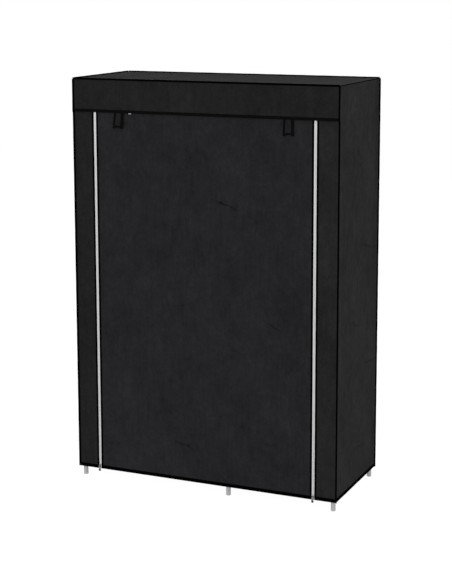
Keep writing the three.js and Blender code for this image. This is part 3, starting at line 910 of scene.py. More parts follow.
@dataclass
class CoverShell:
    """The fixed cloth of the cover: roof, back, two sides, two front strips and the valance."""

    cell: float = 9 * MM
    valance_cell: float = 6 * MM
    valance_flare: float = 1.2 * MM
    valance_ripple: float = 1.0 * MM
    valance_seam: float = 12 * MM
    valance_fade: float = 0.03
    roof_sag: float = 3.2 * MM
    roof_slope: Pair = (0.2, 0.12)
    rail_inset: float = 26 * MM
    plain: Hang = Hang(phase=1.3)
    left: Hang = Hang(phase=2.2, pitch=0.15)
    right: Hang = Hang(phase=0.4, pitch=0.15, creases=(
        Crease((0.004, 0.496), (0.150, 0.481)), Crease((0.041, 0.989), (0.175, 0.952)),
        Crease((-0.061, 0.699), (0.042, 0.667)), Crease((-0.021, 0.183), (0.098, 0.173))))
    strip: Hang = Hang(wave=0.3 * MM, slack=0.2 * MM, pitch=0.07)

    def panel(self, name: str, node: str, way: Way, finish: Finish, slot: str,
              depth: Callable[[Array, Array], Array], cell: float) -> None:
        """Makes one flat-cut panel in its CAD node's place.

        Args:
            name: the piece's name.
            node: the CAD node that it replaces.
            way: the way that it faces.
            finish: its cloth.
            slot: the record's slot.
            depth: gives how far it stands back at places across and up.
            cell: the mesh's step upwards.
        """
        box = node_box(node)
        _, wide, tall = way.axes
        across = steps(box.low[wide], box.high[wide], self.cell)
        up = steps(box.low[tall], box.high[tall], cell)
        obj = Shape().cloth(way, way.face(box), across, up, depth).piece(name, finish, slot, [node])

    def roof_depth(self, u: Array, v: Array) -> Array:
        """Gives how far the roof sags: smooth steps down from every rail, to a depth that ripples a little.

        Args:
            u: places across the roof.
            v: places along its depth.

        Returns:
            Depths in metres.
        """
        low, high = node_box("roof_panel")
        rail = node_box("upright_front_middle").middle[0]
        inset, (wide, long) = self.rail_inset, self.roof_slope
        bays = sum(ease((u - start - inset) / wide) * ease((end - inset - u) / wide)
                   for start, end in ((low[0], rail), (rail, high[0])))
        deep = ease((v - low[1] - inset) / long) * ease((high[1] - inset - v) / long)
        ripple = 0.5 + 0.5 * np.sin(31 * u + 3 * np.sin(9 * v))
        return bays * deep * (self.roof_sag * (0.8 + 0.2 * ripple))

    def valance_forward(self, x: Array, z: Array) -> Array:
        """Gives how far the valance stands forward of its flat plane.

        It grows down the valance by the smooth step, to the flare plus a ripple that is the product of two
        sines.

        Args:
            x: places across it.
            z: places up it.

        Returns:
            Distances in metres.
        """
        low, high = node_box("valance")
        fall = ease((high[2] - self.valance_seam - z) / (high[2] - low[2]))
        free = ease((x - low[0]) / self.valance_fade) * ease((high[0] - x) / self.valance_fade)
        ripple = 0.5 + 0.5 * np.sin(23 * x + 1.3 * np.sin(7 * x)) * np.sin(11 * x + 0.5)
        return fall * (self.valance_flare + free * self.valance_ripple * ripple)

    def build(self) -> None:
        """Builds every fixed panel."""
        self.panel("roof_cloth", "roof_panel", Way.UP, Finish.ROOF, "roof_cloth", self.roof_depth, self.cell)
        self.panel("valance_cloth", "valance", Way.FRONT, Finish.VALANCE, "valance_cloth",
                   lambda x, z: -self.valance_forward(x, z), self.valance_cell)
        for node, way, finish, slot, hang in (
                ("back_panel", Way.BACK, Finish.SIDE, "side_cloth", self.plain),
                ("left_side_panel", Way.LEFT, Finish.SIDE, "side_cloth", self.left),
                ("right_side_panel", Way.RIGHT, Finish.SIDE, "side_cloth", self.right),
                ("front_left_strip", Way.FRONT, Finish.FRONT, "front_cloth", self.strip),
                ("front_right_strip", Way.FRONT, Finish.RIGHT_STRIP, "front_cloth", self.strip)):
            self.panel(node + "_cloth", node, way, finish, slot, hang.depth, self.cell)


@dataclass
class Bindings:
    """The black tapes sewn over the cover's edges, and the hems, with their rows of stitches."""

    shell: CoverShell
    raised: Pair = (3.4 * MM, 6 * MM)
    flat: Pair = (2.0 * MM, 1.2 * MM)
    proud: float = 0.8 * MM
    sunk: float = 0.3 * MM
    blade: float = 0.9 * MM
    uneven: float = 0.12 * MM
    hem: float = 14 * MM
    hem_inset: float = 2.5 * MM
    valance_hem: float = 11 * MM
    row_inset: float = 1.3 * MM
    row_foot: float = 3 * MM
    row_head: float = 8 * MM
    row_lift: float = 0.1 * MM
    below_valance: float = 6 * MM
    step_over: float = 4 * MM
    over_tape: float = 2.0 * MM
    zip_edging: float = 8.4 * MM
    zip_thickness: float = 1.0 * MM
    zip_sunk: float = 0.4 * MM
    zip_row_lift: float = 0.65 * MM
    zip_row_head: float = 130 * MM

    def wobble(self, along: Array, phase: float) -> Array:
        """Returns a tape's slight unevenness along its length: the sum of two small sines."""
        return self.uneven * (np.sin(61 * along + phase) + 0.7 * np.sin(143 * along + 2 * phase))

    def sew(self, name: str, shape: Shape, stitches: Shape, tape: Finish = Finish.BINDING) -> None:
        """Makes a binding and its stitches, sewn to the fixed cover.

        Args:
            name: the binding's name.
            shape: the binding.
            stitches: its stitches, of which there may be none.
            tape: what the binding is made of.
        """
        shape.piece(name, tape, "side_cloth")
        if stitches.count:
            stitches.piece(name + "_stitches", Finish.THREAD, "side_cloth")

    def bind(self, name: str, seam: Array, first: Array, second: Array, axis: int = 0,
             at: Sequence[float] = (), ends: Sequence[float] = (), tape: Pair | None = None) -> None:
        """Binds a seam: a tape round the two raw edges, which stand out from the corner as a fin.

        The cross-section is an arrow: a flap flat on each cloth face, and a blade with a half-round tip on
        the diagonal.

        Args:
            name: the piece's name.
            seam: (n, 3) the corner where the two cloth faces meet.
            first: the way along one face, away from the corner.
            second: the way along the other face.
            axis: the axis that the seam runs along.
            at: the corner's place, nought along the axis.
            ends: where the rows of stitches start and end, if it has them.
            tape: how far the tape reaches along each face, and how far the blade stands out.
        """
        width, fin = tape or self.raised
        half, proud, sunk = self.blade, self.proud, self.sunk
        tip = (fin - half) / math.sqrt(2)
        turn = np.radians(np.linspace(-45, -225, 7))
        blade = -tip + half * np.stack([np.cos(turn), np.sin(turn)], -1)
        flap = np.array([[width, sunk], [width, -0.4 * proud], [width - 0.6 * proud, -proud],
                         [math.sqrt(2) * half - proud, -proud]])
        profile = np.concatenate([flap, blade, flap[::-1, ::-1], [[sunk, sunk]]])
        rings = seam[:, None, :] + profile[:, :1] * first + profile[:, 1:] * second
        rows = Shape()
        for way, spread in ((-second, first), (-first, second)) if ends else ():
            base = np.array(at) + way * (proud + self.row_lift) + spread * (width - self.row_inset)
            rows.stitches(base, axis, ends, way)
        self.sew(name, Shape().loft(rings), rows)

    def uprights(self) -> None:
        """Binds the four vertical corners. The front tapes step out over the valance's ends."""
        low, high = node_box("roof_panel", "back_panel", "front_left_strip")
        valance = node_box("valance").low
        hem, over = valance[2], self.step_over
        for left_right, side, x in (("left", -1, low[0]), ("right", 1, high[0])):
            for front_back, row, y in (("front", -1, low[1]), ("back", 1, high[1])):
                z = steps(low[2], high[2] - 0.2 * MM, STRIP_CELL)
                step, top = 0 * z, high[2] - self.row_head
                if row < 0:
                    z = np.sort(np.concatenate([z, hem + np.array([-1, -0.5, 0, 0.25]) * over]))
                    ahead = low[1] - valance[1] + self.shell.valance_forward(np.full_like(z, x), z)
                    step, top = ease((z - hem + over) / over) * ahead, hem - self.below_valance
                seam = line(x + side * self.wobble(z, x + y), y - step, z)
                self.bind(f"corner_binding_{front_back}_{left_right}", seam, -side * ALONG_X, -row * ALONG_Y,
                          2, (x, y, 0.0), (low[2] + self.row_foot, top))

    def roof_edges(self) -> None:
        """Binds the four top edges, where the roof meets the valance, the back and the sides."""
        low, high = node_box("roof_panel")
        front, top = node_box("valance").low[1], high[2]
        for name, y, row in (("front", front, -1), ("back", high[1], 1)):
            x = steps(low[0], high[0], STRIP_CELL)
            self.bind(f"roof_binding_{name}", line(x, y, top + self.wobble(x, y)), -row * ALONG_Y, -ALONG_Z,
                      0, (0.0, y, top), (low[0] + self.row_head, high[0] - self.row_head))
        for name, x, side, tape in (("left", low[0], -1, self.raised), ("right", high[0], 1, self.flat)):
            y = steps(front, high[1], STRIP_CELL)
            self.bind(f"roof_binding_{name}", line(x, y, top + self.wobble(y, x)), -side * ALONG_X, -ALONG_Z,
                      tape=tape)

    def hems(self) -> None:
        """Hems the lower edges of the sides, the back, the strips and the valance."""
        for node, way in (("left_side_panel", Way.LEFT), ("right_side_panel", Way.RIGHT),
                          ("back_panel", Way.BACK), ("front_left_strip", Way.FRONT),
                          ("front_right_strip", Way.FRONT)):
            box = node_box(node)
            _, wide, tall = way.axes
            places = steps(box.low[wide] + self.hem_inset, box.high[wide] - self.hem_inset, STRIP_CELL)
            up = (box.low[tall], box.low[tall] + self.hem)
            band, row = folded_hem(way, way.face(box), places, up, 0.5 * self.wobble(places, up[1]))
            self.sew(node.replace("_panel", "") + "_hem", band, row)
        low, high = node_box("valance")
        places, up = steps(low[0], high[0], STRIP_CELL), (low[2], low[2] + self.valance_hem)
        band, row = folded_hem(Way.FRONT, low[1], places, up, 0.5 * self.wobble(places, up[1]),
                               lambda x: self.shell.valance_forward(x, low[2]))
        self.sew("valance_hem", band, row, Finish.SOFT_BINDING)

    def zip_sides(self) -> None:
        """Binds the strips' edges beside the zips: a flat tape with one stitch row."""
        for side, way in SIDES:
            low, high = node_box(f"front_{side}_strip")
            edge = (high[0] if way < 0 else low[0]) - way * self.over_tape
            z = steps(low[2], high[2], STRIP_CELL)
            centre = line(edge + way * self.zip_edging / 2 + self.wobble(z, way), low[1] + self.zip_sunk, z)
            row = (edge + way * (self.zip_edging - self.row_inset), low[1] - self.zip_row_lift, 0.0)
            self.sew(f"zip_binding_{side}", Shape().band(centre, self.zip_edging, self.zip_thickness),
                     Shape().stitches(row, 2, (low[2] + self.row_foot, high[2] - self.zip_row_head)))

    def build(self) -> None:
        """Builds every fixed binding and hem."""
        self.uprights()
        self.roof_edges()
        self.hems()
        self.zip_sides()


@dataclass(frozen=True)
class ZipCoil:
    """A zip's half tape and the nylon coil along its edge, alike in the fixed half and the door's."""

    tape: float = 0.7 * MM
    pitch: float = 2 * MM
    half: tuple[float, float, float] = (1.35 * MM, 0.6 * MM, 0.62 * MM)
    hidden: float = 0.9 * MM

    def add(self, shape: Shape, edge: float, way: int, face: float, heights: Array) -> Shape:
        """Adds the coil's teeth, one block for each turn.

        Args:
            shape: what they are added to.
            edge: where the tape's edge stands across.
            way: the way from the edge over the tape, 1 or -1.
            face: the tape's underside along Y.
            heights: the teeth's heights.

        Returns:
            The shape.
        """
        centres = line(edge + way * self.half[0], face - self.tape - self.half[1], heights)
        return shape.blocks(centres, np.array([self.half[0] + self.hidden, *self.half[1:]]), top=0.55)


@dataclass
class RollDoor:
    """The door: one cloth from the header to the bottom hem, which rolls up over ten hinges.

    It is cut into spans, meshed finer round each hinge.
    """

    joints: Sequence[dict[str, Any]]
    bands: int = 10
    bend: float = 22 * MM
    cell: float = 7 * MM
    header_drop: float = 60 * MM
    edging: float = 8.4 * MM
    edging_lift: float = 0.4 * MM
    edging_thickness: float = 0.6 * MM
    row_inset: float = 1.3 * MM
    row_lift: float = 0.65 * MM
    half_tape: float = 6.5 * MM
    shown_tape: float = 4.6 * MM
    hem: float = 14 * MM
    behind_valance: float = 10 * MM
    coil: ZipCoil = ZipCoil()
    hang: Hang = Hang(slack=0.5 * MM, pitch=0.21, phase=0.7, creases=(
        Crease((0.057, 1.159), (0.132, 1.136)), Crease((0.268, 0.702), (0.325, 0.681)),
        Crease((0.119, 0.583), (0.165, 0.584)), Crease((-0.131, 0.742), (-0.049, 0.749)),
        Crease((-0.118, 0.188), (-0.058, 0.180)), Crease((0.260, 0.229), (0.313, 0.240)),
        Crease((-0.209, 0.446), (-0.188, 0.389))))

    def __post_init__(self) -> None:
        """Reads the hinges' heights and the depth of their plane, and where the door starts and ends."""
        rolls = [joint["pos_m"] for joint in self.joints if joint["name"].startswith("door_roll")]
        self.hinges, self.plane = sorted((place[2] for place in rolls), reverse=True), rolls[0][1]
        self.header, self.foot = node_box("door_header"), node_box("door_band_10").low[2]
        self.face = self.header.low[1] + SET_BACK
        self.sides = (self.header.low[0], 1), (self.header.high[0], -1)
        self.hemmed = (self.header.low[0] + self.half_tape, self.header.high[0] - self.half_tape)

    def rows(self, top: float, bottom: float, number: int) -> Array:
        """Gives a span's heights: a cell apart, and finer within the bend over its hinge.

        Args:
            top: its upper edge.
            bottom: its lower edge.
            number: which span it is.

        Returns:
            Heights from top to bottom.
        """
        if not 0 < number <= self.bands:
            return steps(top, bottom, self.cell)
        hinge = self.hinges[number - 1]
        fine = np.linspace(hinge + self.bend, hinge - self.bend, 21)
        above, below = steps(top, fine[0], self.cell), steps(fine[-1], bottom, self.cell)
        return np.concatenate([above[:-1], fine, below[1:]])

    def spans(self) -> list[tuple[float, float, int]]:
        """Cuts the door into spans, each with one hinge within it but the first and the last.

        Returns:
            Each span's top, bottom and number: 0 for the header, and one past the bands for the last.
        """
        ends = [*self.hinges, self.foot]
        cuts = [self.hinges[0] + self.header_drop] + [(a + b) / 2 for a, b in zip(ends, ends[1:])]
        return list(zip([self.header.high[2], *cuts], [*cuts, self.foot], range(len(cuts) + 1)))

    def body(self, number: int) -> str | Bend:
        """Finds what a span moves with.

        Args:
            number: which span it is.

        Returns:
            The body that it rides on, or its bend over its hinge.
        """
        bodies = ["root"] + [f"band_{i + 1:02d}" for i in range(self.bands)]
        if not 0 < number <= self.bands:
            return bodies[0 if number == 0 else -1]
        start, end = ((0, self.plane, self.hinges[number - 1] + way * self.bend) for way in (1, -1))
        return Bend(bodies[number - 1], bodies[number], start, end)

    def cloth(self, top: float, bottom: float, number: int) -> None:
        """Makes one span of the door's cloth, between its two side edgings.

        Args:
            top: its upper edge.
            bottom: its lower edge.
            number: which span it is.
        """
        across = steps(*self.hemmed, self.cell)
        depth = partial(self.hang.depth, foot=self.foot, head=self.header.high[2])
        shape = Shape().cloth(Way.FRONT, self.face, across, self.rows(top, bottom, number), depth)
        nodes = ["door_header", *(f"door_band_{i + 1:02d}" for i in range(self.bands))][number : number + 1]
        obj = shape.piece(f"door_cloth_{number:02d}", Finish.DOOR, "door_cloth", nodes, self.body(number))

    def edges(self, top: float, bottom: float, number: int) -> None:
        """Makes one span of what is sewn along both sides: half tapes, coils, edgings and stitches.

        Args:
            top: its upper edge.
            bottom: its lower edge.
            number: which span it is.
        """
        z = self.rows(top, bottom, number)
        count = max(1, int((top - bottom) / (2 * self.coil.pitch)))
        teeth = top - (np.arange(count) + 0.5) * (top - bottom) / count
        teeth = teeth[teeth < node_box("valance").low[2] + self.behind_valance]
        tape, coil, edging, thread = (Shape() for _ in range(4))
        for x, way in self.sides:
            middle = line(x + way * self.half_tape / 2, self.face, z)
            tape.band(middle, self.half_tape, self.coil.tape, along=z)
            middle = line(x + way * (self.shown_tape + self.edging / 2), self.face - self.edging_lift, z)
            edging.band(middle, self.edging, self.edging_thickness, along=z)
            if len(teeth):
                self.coil.add(coil, x, way, self.face, teeth)
            row = x + way * (self.shown_tape + self.edging - self.row_inset)
            thread.stitches((row, self.face - self.edging_lift - self.row_lift, 0.0), 2, (bottom, top))
        for shape, name, finish, slot in ((tape, "door_tape", Finish.ZIP_TAPE, "zip_tape"),
                                          (coil, "door_coil", Finish.ZIP_COIL, "zip_tape"),
                                          (edging, "door_edging", Finish.BINDING, "door_cloth"),
                                          (thread, "door_stitches", Finish.THREAD, "door_cloth")):
            if shape.count:
                shape.piece(f"{name}_{number:02d}", finish, slot, body=self.body(number))

    def build(self) -> None:
        """Builds the door from the header to the hem at its foot."""
        for span in self.spans():
            self.cloth(*span)
            self.edges(*span)
        places = steps(*self.hemmed, STRIP_CELL)
        band, row = folded_hem(Way.FRONT, self.face, places, (self.foot, self.foot + self.hem))
        last = self.body(self.bands + 1)
        band.piece("door_hem", Finish.BINDING, "door_cloth", body=last)
        row.piece("door_hem_stitches", Finish.THREAD, "door_cloth", body=last)


@dataclass
class ZipLine:
    """The fixed half of each zip, its slider and its pull."""

    coil: ZipCoil = ZipCoil()
    plate: float = 2.2 * MM
    plate_corner: float = 2.2 * MM
    plate_bevel: float = 0.6 * MM
    raised: float = 0.62
    raised_depth: Pair = (0.7 * MM, 0.6 * MM)
    raised_corner: float = 1.6 * MM
    raised_bevel: float = 0.5 * MM
    # The next four give the dark plate of painted shade on the slider
    shade_box: tuple[float, ...] = (-4.2, -4.4, 4.2, 4.4)
    shade_depth: Pair = (3.1 * MM, 2.6 * MM)
    shade_corner: float = 2 * MM
    shade_bevel: float = 0.2 * MM
    bar_in: float = 1.6 * MM
    ear: float = 1.8 * MM
    ear_half: float = 0.6 * MM
    ear_front: float = 1.5 * MM
    ear_back: Pair = (2 * MM, 2.2 * MM)
    ear_corner: float = 1.2 * MM
    eye_down: float = 2 * MM
    eye_half: float = 0.85 * MM
    eye_radius: float = 1.95 * MM
    eye_wall: float = 0.8 * MM
    pull_half: float = 4.2 * MM
    pull_thick: float = 0.65 * MM
    pull_neck: float = 4.6 * MM
    pull_top: Pair = (0.8 * MM, 1.6 * MM)
    pull_foot: Pair = (0.7, 2.4 * MM)
    pull_corner: float = 1.1 * MM
    pull_bevel: float = 0.25 * MM
    hole: float = 1.9 * MM
    hole_up: float = 4.6 * MM
    tip: float = 7.0 * MM
    tip_over: float = 0.45 * MM
    tip_beside: float = 0.35 * MM
    tip_below: float = 0.3 * MM
    tip_foot: Pair = (0.72, 2.0 * MM)
    tip_corner: float = 1.2 * MM
    tip_bevel: float = 0.35 * MM

    def tape(self, side: str, way: int) -> None:
        """Makes the fixed half tape and its coil, whose teeth stand between those of the door's half.

        Args:
            side: which zip it is, left or right.
            way: the way from the coil over the tape, 1 or -1.
        """
        box = node_box(f"zip_tape_{side}")
        face = node_box("front_left_strip").low[1] + SET_BACK
        z = steps(box.low[2], box.high[2], STRIP_CELL)
        Shape().band(line(box.middle[0], face, z), box.size[0], self.coil.tape, along=z).piece(
            f"zip_half_tape_{side}", Finish.ZIP_TAPE, "zip_tape", [f"zip_tape_{side}"])
        count = int((node_box("valance").low[2] - box.low[2]) / (2 * self.coil.pitch))
        teeth = box.low[2] + (np.arange(count) + 0.02) * 2 * self.coil.pitch + self.coil.pitch
        edge = box.low[0] if way > 0 else box.high[0]
        self.coil.add(Shape(), edge, way, face, teeth).piece(f"zip_coil_{side}", Finish.ZIP_COIL, "zip_tape")

    def slider(self, side: str) -> None:
        """Makes the slider: a waisted plate, a raised middle with a dark plate of painted shade, two ears and
        a cross bar.

        Args:
            side: which zip it is, left or right.
        """
        box = node_box(f"zip_slider_{side}")
        (x, _, z), back, bar = box.middle, box.high[1], box.low[1] + self.bar_in
        shares = mirrored(np.array([[0.62, -1], [0.8, -0.1], [1, 0.62], [0.55, 1]]), 1)
        outline, face = shares * box.size[[0, 2]] / 2, back - self.plate
        shape = Shape(sides=16)
        shape.plate(rounded(outline, self.plate_corner) + [x, z], face, back, self.plate_bevel)
        shape.plate(rounded(outline * self.raised, self.raised_corner) + [x, z], face - self.raised_depth[0],
                    face + self.raised_depth[1], self.raised_bevel)
        front, high, (inside, half) = bar - self.ear_front, self.ear_front, self.ear_back
        ear = rounded(np.array([[front, -high], [front, high], [back - inside, half], [back - inside, -half]]),
                      self.ear_corner)
        for middle in (x - self.ear, x + self.ear):
            shape.loft(np.stack([line(middle + dx, ear[:, 0], z + ear[:, 1])
                                 for dx in (-self.ear_half, self.ear_half)]))
        pin = np.array([[0.6, -2.3], [0.8, -2.1], [0.8, 2.1], [0.6, 2.3]]) * MM + [0, x]
        shape.turn(0, pin, (0, bar, z))
        shape.piece(f"zip_slider_{side}_metal", Finish.ZIP_METAL, "zip_metal", [f"zip_slider_{side}"],
                    f"slider_{side}")
        # A dark plate paints the shade under the ears, where the slider's slot is
        painted_shade = rounded(rectangle(*self.shade_box), self.shade_corner) + [x, z]
        low, high = (back - depth for depth in self.shade_depth)
        Shape().plate(painted_shade, low, high, self.shade_bevel).piece(
            f"zip_slider_{side}_recess", Finish.TIP, "zip_metal", body=f"slider_{side}")

    def pull(self, side: str) -> None:
        """Makes the pull: an eye round the slider's bar, and a tapered tab whose hole a dark tip covers.

        Args:
            side: which zip it is, left or right.
        """
        box = node_box(f"zip_pull_{side}")
        (x, y, _), eye = box.middle, box.high[2] - self.eye_down
        half, thick, length = self.pull_half, self.pull_thick, eye - box.low[2]
        shape = Shape(sides=20)
        shape.tube(0, x - self.eye_half, x + self.eye_half, self.eye_radius, self.eye_wall, (0, y, eye),
                   self.pull_bevel)
        (narrow, neck), (share, corner) = self.pull_top, self.pull_foot
        tab = mirrored(np.array([[narrow, -neck], [half, -self.pull_neck], [half, corner - length],
                                 [half * share, -length]]), 1)
        hole = (np.array([x, eye - length + self.hole_up]), self.hole)
        shape.plate(rounded(tab, self.pull_corner, 5) + [x, eye], y - thick, y + thick, self.pull_bevel, hole)
        shape.piece(f"zip_pull_{side}_metal", Finish.PULL, "zip_metal", [f"zip_pull_{side}"], f"pull_{side}")
        end, top, wide = -length - self.tip_below, -length + self.tip, half + self.tip_beside
        share, corner = self.tip_foot
        boot = mirrored(np.array([[-wide, top], [-wide, end + corner], [-wide * share, end]]))
        over = thick + self.tip_over
        Shape().plate(rounded(boot, self.tip_corner) + [x, eye], y - over, y + over, self.tip_bevel).piece(
            f"zip_pull_{side}_tip", Finish.TIP, "zip_metal", body=f"pull_{side}")

    def build(self) -> None:
        """Builds both zips."""
        for side, way in SIDES:
            self.tape(side, way)
            self.slider(side)
            self.pull(side)


@dataclass
class TieStrap:
    """One of two cloth straps that hold the rolled door. Its edges spread towards its foot by the flare."""

    side: str
    slant: float
    flare: Pair
    edges: Pair = (8.5 * MM, 11.5 * MM)
    bar: float = 7.5 * MM
    bar_up: float = 8 * MM
    shorter: float = 4 * MM
    tail: float = 4 * MM
    root: float = 20 * MM
    bend: float = 11 * MM
    lean: float = 5 * MM
    cup: float = 0.3 * MM
    trim: Pair = (0.45 * MM, 0.3 * MM)
    bar_thickness: float = 0.5 * MM
    cells: tuple[float, float, float] = (4 * MM, 1 * MM, 3 * MM)
    row_inset: float = 1.2 * MM
    row_lift: float = 0.5 * MM
    row_short: float = 2 * MM
    cup_fade: float = 0.02

    def settle(self, points: Array) -> Array:
        """Lets a strap's points stand off the door and spread towards its foot.

        Down the strap, a point moves forward by the smooth step times the lean, and sideways in proportion,
        by the flare of the edge that it is nearer to.

        Args:
            points: (..., 3) places on the flat strap.

        Returns:
            The moved places.
        """
        low, high = node_box(f"strap_{self.side}")
        fall = np.clip((high[2] - points[..., 2]) / (high[2] - low[2]), 0, 1)
        across = (points[..., 0] - low[0]) / (high[0] - low[0])
        spread = (1 - across) * self.flare[0] + across * self.flare[1]
        return points + line(fall * spread, -self.lean * ease(fall), 0.0)

    def build(self) -> None:
        """Builds the strap: cloth with bound edges, a cross bar near its lower end and two short tails.

        It is sewn to the cover above the valance's hem, with finer rows just below that.
        """
        box = node_box(f"strap_{self.side}")
        (left, _, _), (right, _, sewn) = box
        (x, y, _), foot, top, bent = box.middle, box.low[2] + self.shorter, sewn + self.root, sewn - self.bend
        front, name = y - CLOTH / 2, f"strap_{self.side}"
        body = Bend("root", f"tie_{self.side}", (x, y, sewn), (x, y, bent))
        cell, fine, wide = self.cells
        rows = np.concatenate([steps(top, sewn, cell)[:-1], steps(sewn, bent, fine),
                               steps(bent, foot, cell)[1:]])
        u, v = np.meshgrid(steps(left, right, wide), rows[rows > foot + self.tail])
        cup = self.cup * np.sin(math.pi * (u - left) / (right - left))
        outer = line(u, front - cup * ease((sewn - v) / self.cup_fade), v)
        sheet = Shape().slab(self.settle(outer), self.settle(outer + CLOTH * ALONG_Y), np.stack([u, v], -1))
        obj = sheet.piece(name + "_cloth", Finish.STRAP, "strap_cloth", [name], body)
        trim, thread = Shape(), Shape()
        for edge, way, width in ((left, 1, self.edges[0]), (right, -1, self.edges[1])):
            centre = line(edge + way * width / 2, front, rows)
            trim.band(self.settle(centre), width, self.trim[0])
            trim.band(self.settle(centre + CLOTH * ALONG_Y), width, self.trim[1], ALONG_Y)
            row = (edge + way * (width - self.row_inset), front - self.row_lift, 0.0)
            thread.stitches(row, 2, (foot + self.row_short, top - self.row_short), bend=self.settle)
        run = np.linspace(left + 1 * MM, right - 1 * MM, 14)
        tilt = foot + self.bar_up + self.slant * (run - run.mean()) / (run[-1] - run[0]) * 2
        bar = self.settle(line(run, front - self.trim[0], tilt))
        trim.band(bar, self.bar, self.bar_thickness, across=ALONG_Z)
        trim.piece(name + "_binding", Finish.SOFT_BINDING, "strap_cloth", body=body)
        thread.piece(name + "_stitches", Finish.THREAD, "strap_cloth", body=body)


@dataclass
class HemClip:
    """The bright fitting beside the left strap: a small folded nickel clip under the valance's hem."""

    across: float = -0.3044
    below: float = 1.6 * MM
    behind: float = 0.2 * MM
    thick: float = 1.2 * MM
    bevel: float = 0.4 * MM
    corner: float = 1.6 * MM
    plate: tuple[float, ...] = (-5.5, -2.4, 5.5, 3.4)

    def build(self) -> None:
        """Builds the clip."""
        low = node_box("valance").low
        y = low[1] + self.behind
        outline = rounded(rectangle(*self.plate), self.corner) + [self.across, low[2] - self.below]
        Shape().plate(outline, y, y + self.thick, self.bevel).piece("hem_clip", Finish.NICKEL, "zip_metal")


@dataclass
class TubeFrame:
    """The frame: coated tubes plugged into moulded connectors."""

    wall: float = 0.9 * MM
    foot_cap: float = 36 * MM
    cap_wall: float = 1.7 * MM
    socket: float = 10.7 * MM
    bore: float = 8.3 * MM
    collar: float = 5 * MM
    hub: float = 9 * MM
    ball: float = 12 * MM
    rail_radius: float = 8 * MM
    rail_inset: float = 8.4 * MM
    hook_radius: float = 9.6 * MM
    hook_half: Pair = (8 * MM, 1.25 * MM)
    hook_bend: float = 12 * MM
    hook_foot: float = 7.5 * MM
    socket_reach: float = 20 * MM

    def upright(self, row: str, post: str) -> None:
        """Makes an upright tube and the cap pushed over its foot.

        Args:
            row: which row of uprights it is in, front or back.
            post: its place in the row: left, middle or right.
        """
        node = f"upright_{row}_{post}"
        box = node_box(node)
        (_, _, low), (_, _, high) = box
        radius = box.size[1] / 2
        Shape().tube(2, low + 2 * MM, high, radius - 0.3 * MM, self.wall, box.middle).piece(
            node + "_tube", Finish.TUBE, "steel_tube", [node])
        wide, top, inner, pole = radius + self.cap_wall, self.foot_cap, radius - 0.2 * MM, 0.05 * MM
        cap = np.array([[pole, 0], [wide - 2.2 * MM, 0], [wide - 0.7 * MM, 0.6 * MM], [wide, 2.2 * MM],
                        [wide, 5 * MM], [wide - 0.25 * MM, 5.4 * MM], [wide - 0.25 * MM, top - 0.5 * MM],
                        [wide - 0.5 * MM, top], [inner, top], [inner, 2.4 * MM], [pole, 2.4 * MM]]) + [0, low]
        Shape().turn(2, cap, box.middle).piece(f"foot_cap_{row}_{post}", Finish.CAP, "steel_tube")

    def rail(self, node: str, axis: int) -> None:
        """Makes a rail tube.

        Args:
            node: the CAD node that it replaces.
            axis: its axis.
        """
        box = node_box(node)
        Shape().tube(axis, box.low[axis], box.high[axis], box.size[2] / 2, self.wall, box.middle).piece(
            node + "_tube", Finish.TUBE, "steel_tube", [node])

    def connector(self, level: str, row: str, post: str) -> None:
        """Makes a connector: a ball hub or a sleeve, and for each tube a socket with a collar at its mouth.

        Args:
            level: top, with a ball hub, or bottom, with a sleeve.
            row: which row of uprights it is in, front or back.
            post: its place in the row: left, middle or right.
        """
        node = f"{level}_connector_{row}_{post}"
        low, high = node_box(node)
        hub = node_box(f"upright_{row}_{post}").middle
        hub[2] = node_box(f"{level}_side_rail_{post}").middle[2]
        shape = Shape()
        if level == "top":
            angle = np.linspace(-math.pi / 2, math.pi / 2, 13)
            ball = [np.maximum(self.ball * np.cos(angle), 0.02 * MM), hub[2] + self.ball * np.sin(angle)]
            shape.turn(2, np.stack(ball, -1), hub)
            sockets = [(2, hub[2] - self.hub, low[2])]
        else:
            sockets = [(2, hub[2], low[2]), (2, hub[2], high[2])]
        sockets += [(0, hub[0] + way * self.hub, end[0]) for way, end in ((1, high), (-1, low))
                    if abs(end[0] - hub[0]) > self.socket_reach]
        way, end = (1, high) if row == "front" else (-1, low)
        sockets.append((1, hub[1] + way * self.hub, end[1]))
        for axis, root, mouth in sockets:
            inward = math.copysign(self.collar, root - mouth)
            for radius, start in ((self.socket - 0.5 * MM, root), (self.socket, mouth + inward)):
                shape.tube(axis, *sorted((start, mouth)), radius, radius - self.bore, hub)
        shape.piece(node + "_moulded", Finish.CONNECTOR, "connector_plastic", [node])

    def hanging_rail(self) -> None:
        """Makes the hanging rail and the two hooks that hang it from the side rails.

        A hook is a flat strip with rounded edges, carried along a half circle over the rail and then down.
        """
        box = node_box("hanging_rail")
        z, y = box.low[2] + self.rail_radius, box.middle[1]
        ends = [node_box(f"top_side_rail_{post}").middle for post in ("left", "middle")]
        start, end = ends[0][0] + self.rail_inset, ends[1][0] - self.rail_inset
        shape = Shape().tube(0, start, end, self.rail_radius, self.wall, (0, y, z))
        angle = np.linspace(math.pi, 0, 15)
        (wide, thick), mid, top = self.hook_half, self.hook_radius, ends[0][2]
        profile = mirrored(np.array([[0.93 * wide, -1], [wide, -0.6], [wide, 0.6], [0.93 * wide, 1]]), 2)
        for (x, _, _), way in zip(ends, (1, -1)):
            down = x + way * mid
            path = np.concatenate([np.stack([x + way * mid * np.cos(angle), top + mid * np.sin(angle)], -1),
                                   [[down, top - self.hook_bend], [down, z - self.hook_foot]]])
            tangent = np.gradient(path, axis=0)
            tangent /= np.linalg.norm(tangent, axis=1, keepdims=True)
            normal = np.stack([-tangent[:, 1], tangent[:, 0]], -1)
            flat = path[:, None, :] + normal[:, None, :] * profile[:, 1:] * thick
            shape.loft(line(flat[..., 0], y + profile[:, 0], flat[..., 1]))
        shape.piece("hanging_rail_tube", Finish.TUBE, "steel_tube", ["hanging_rail"])

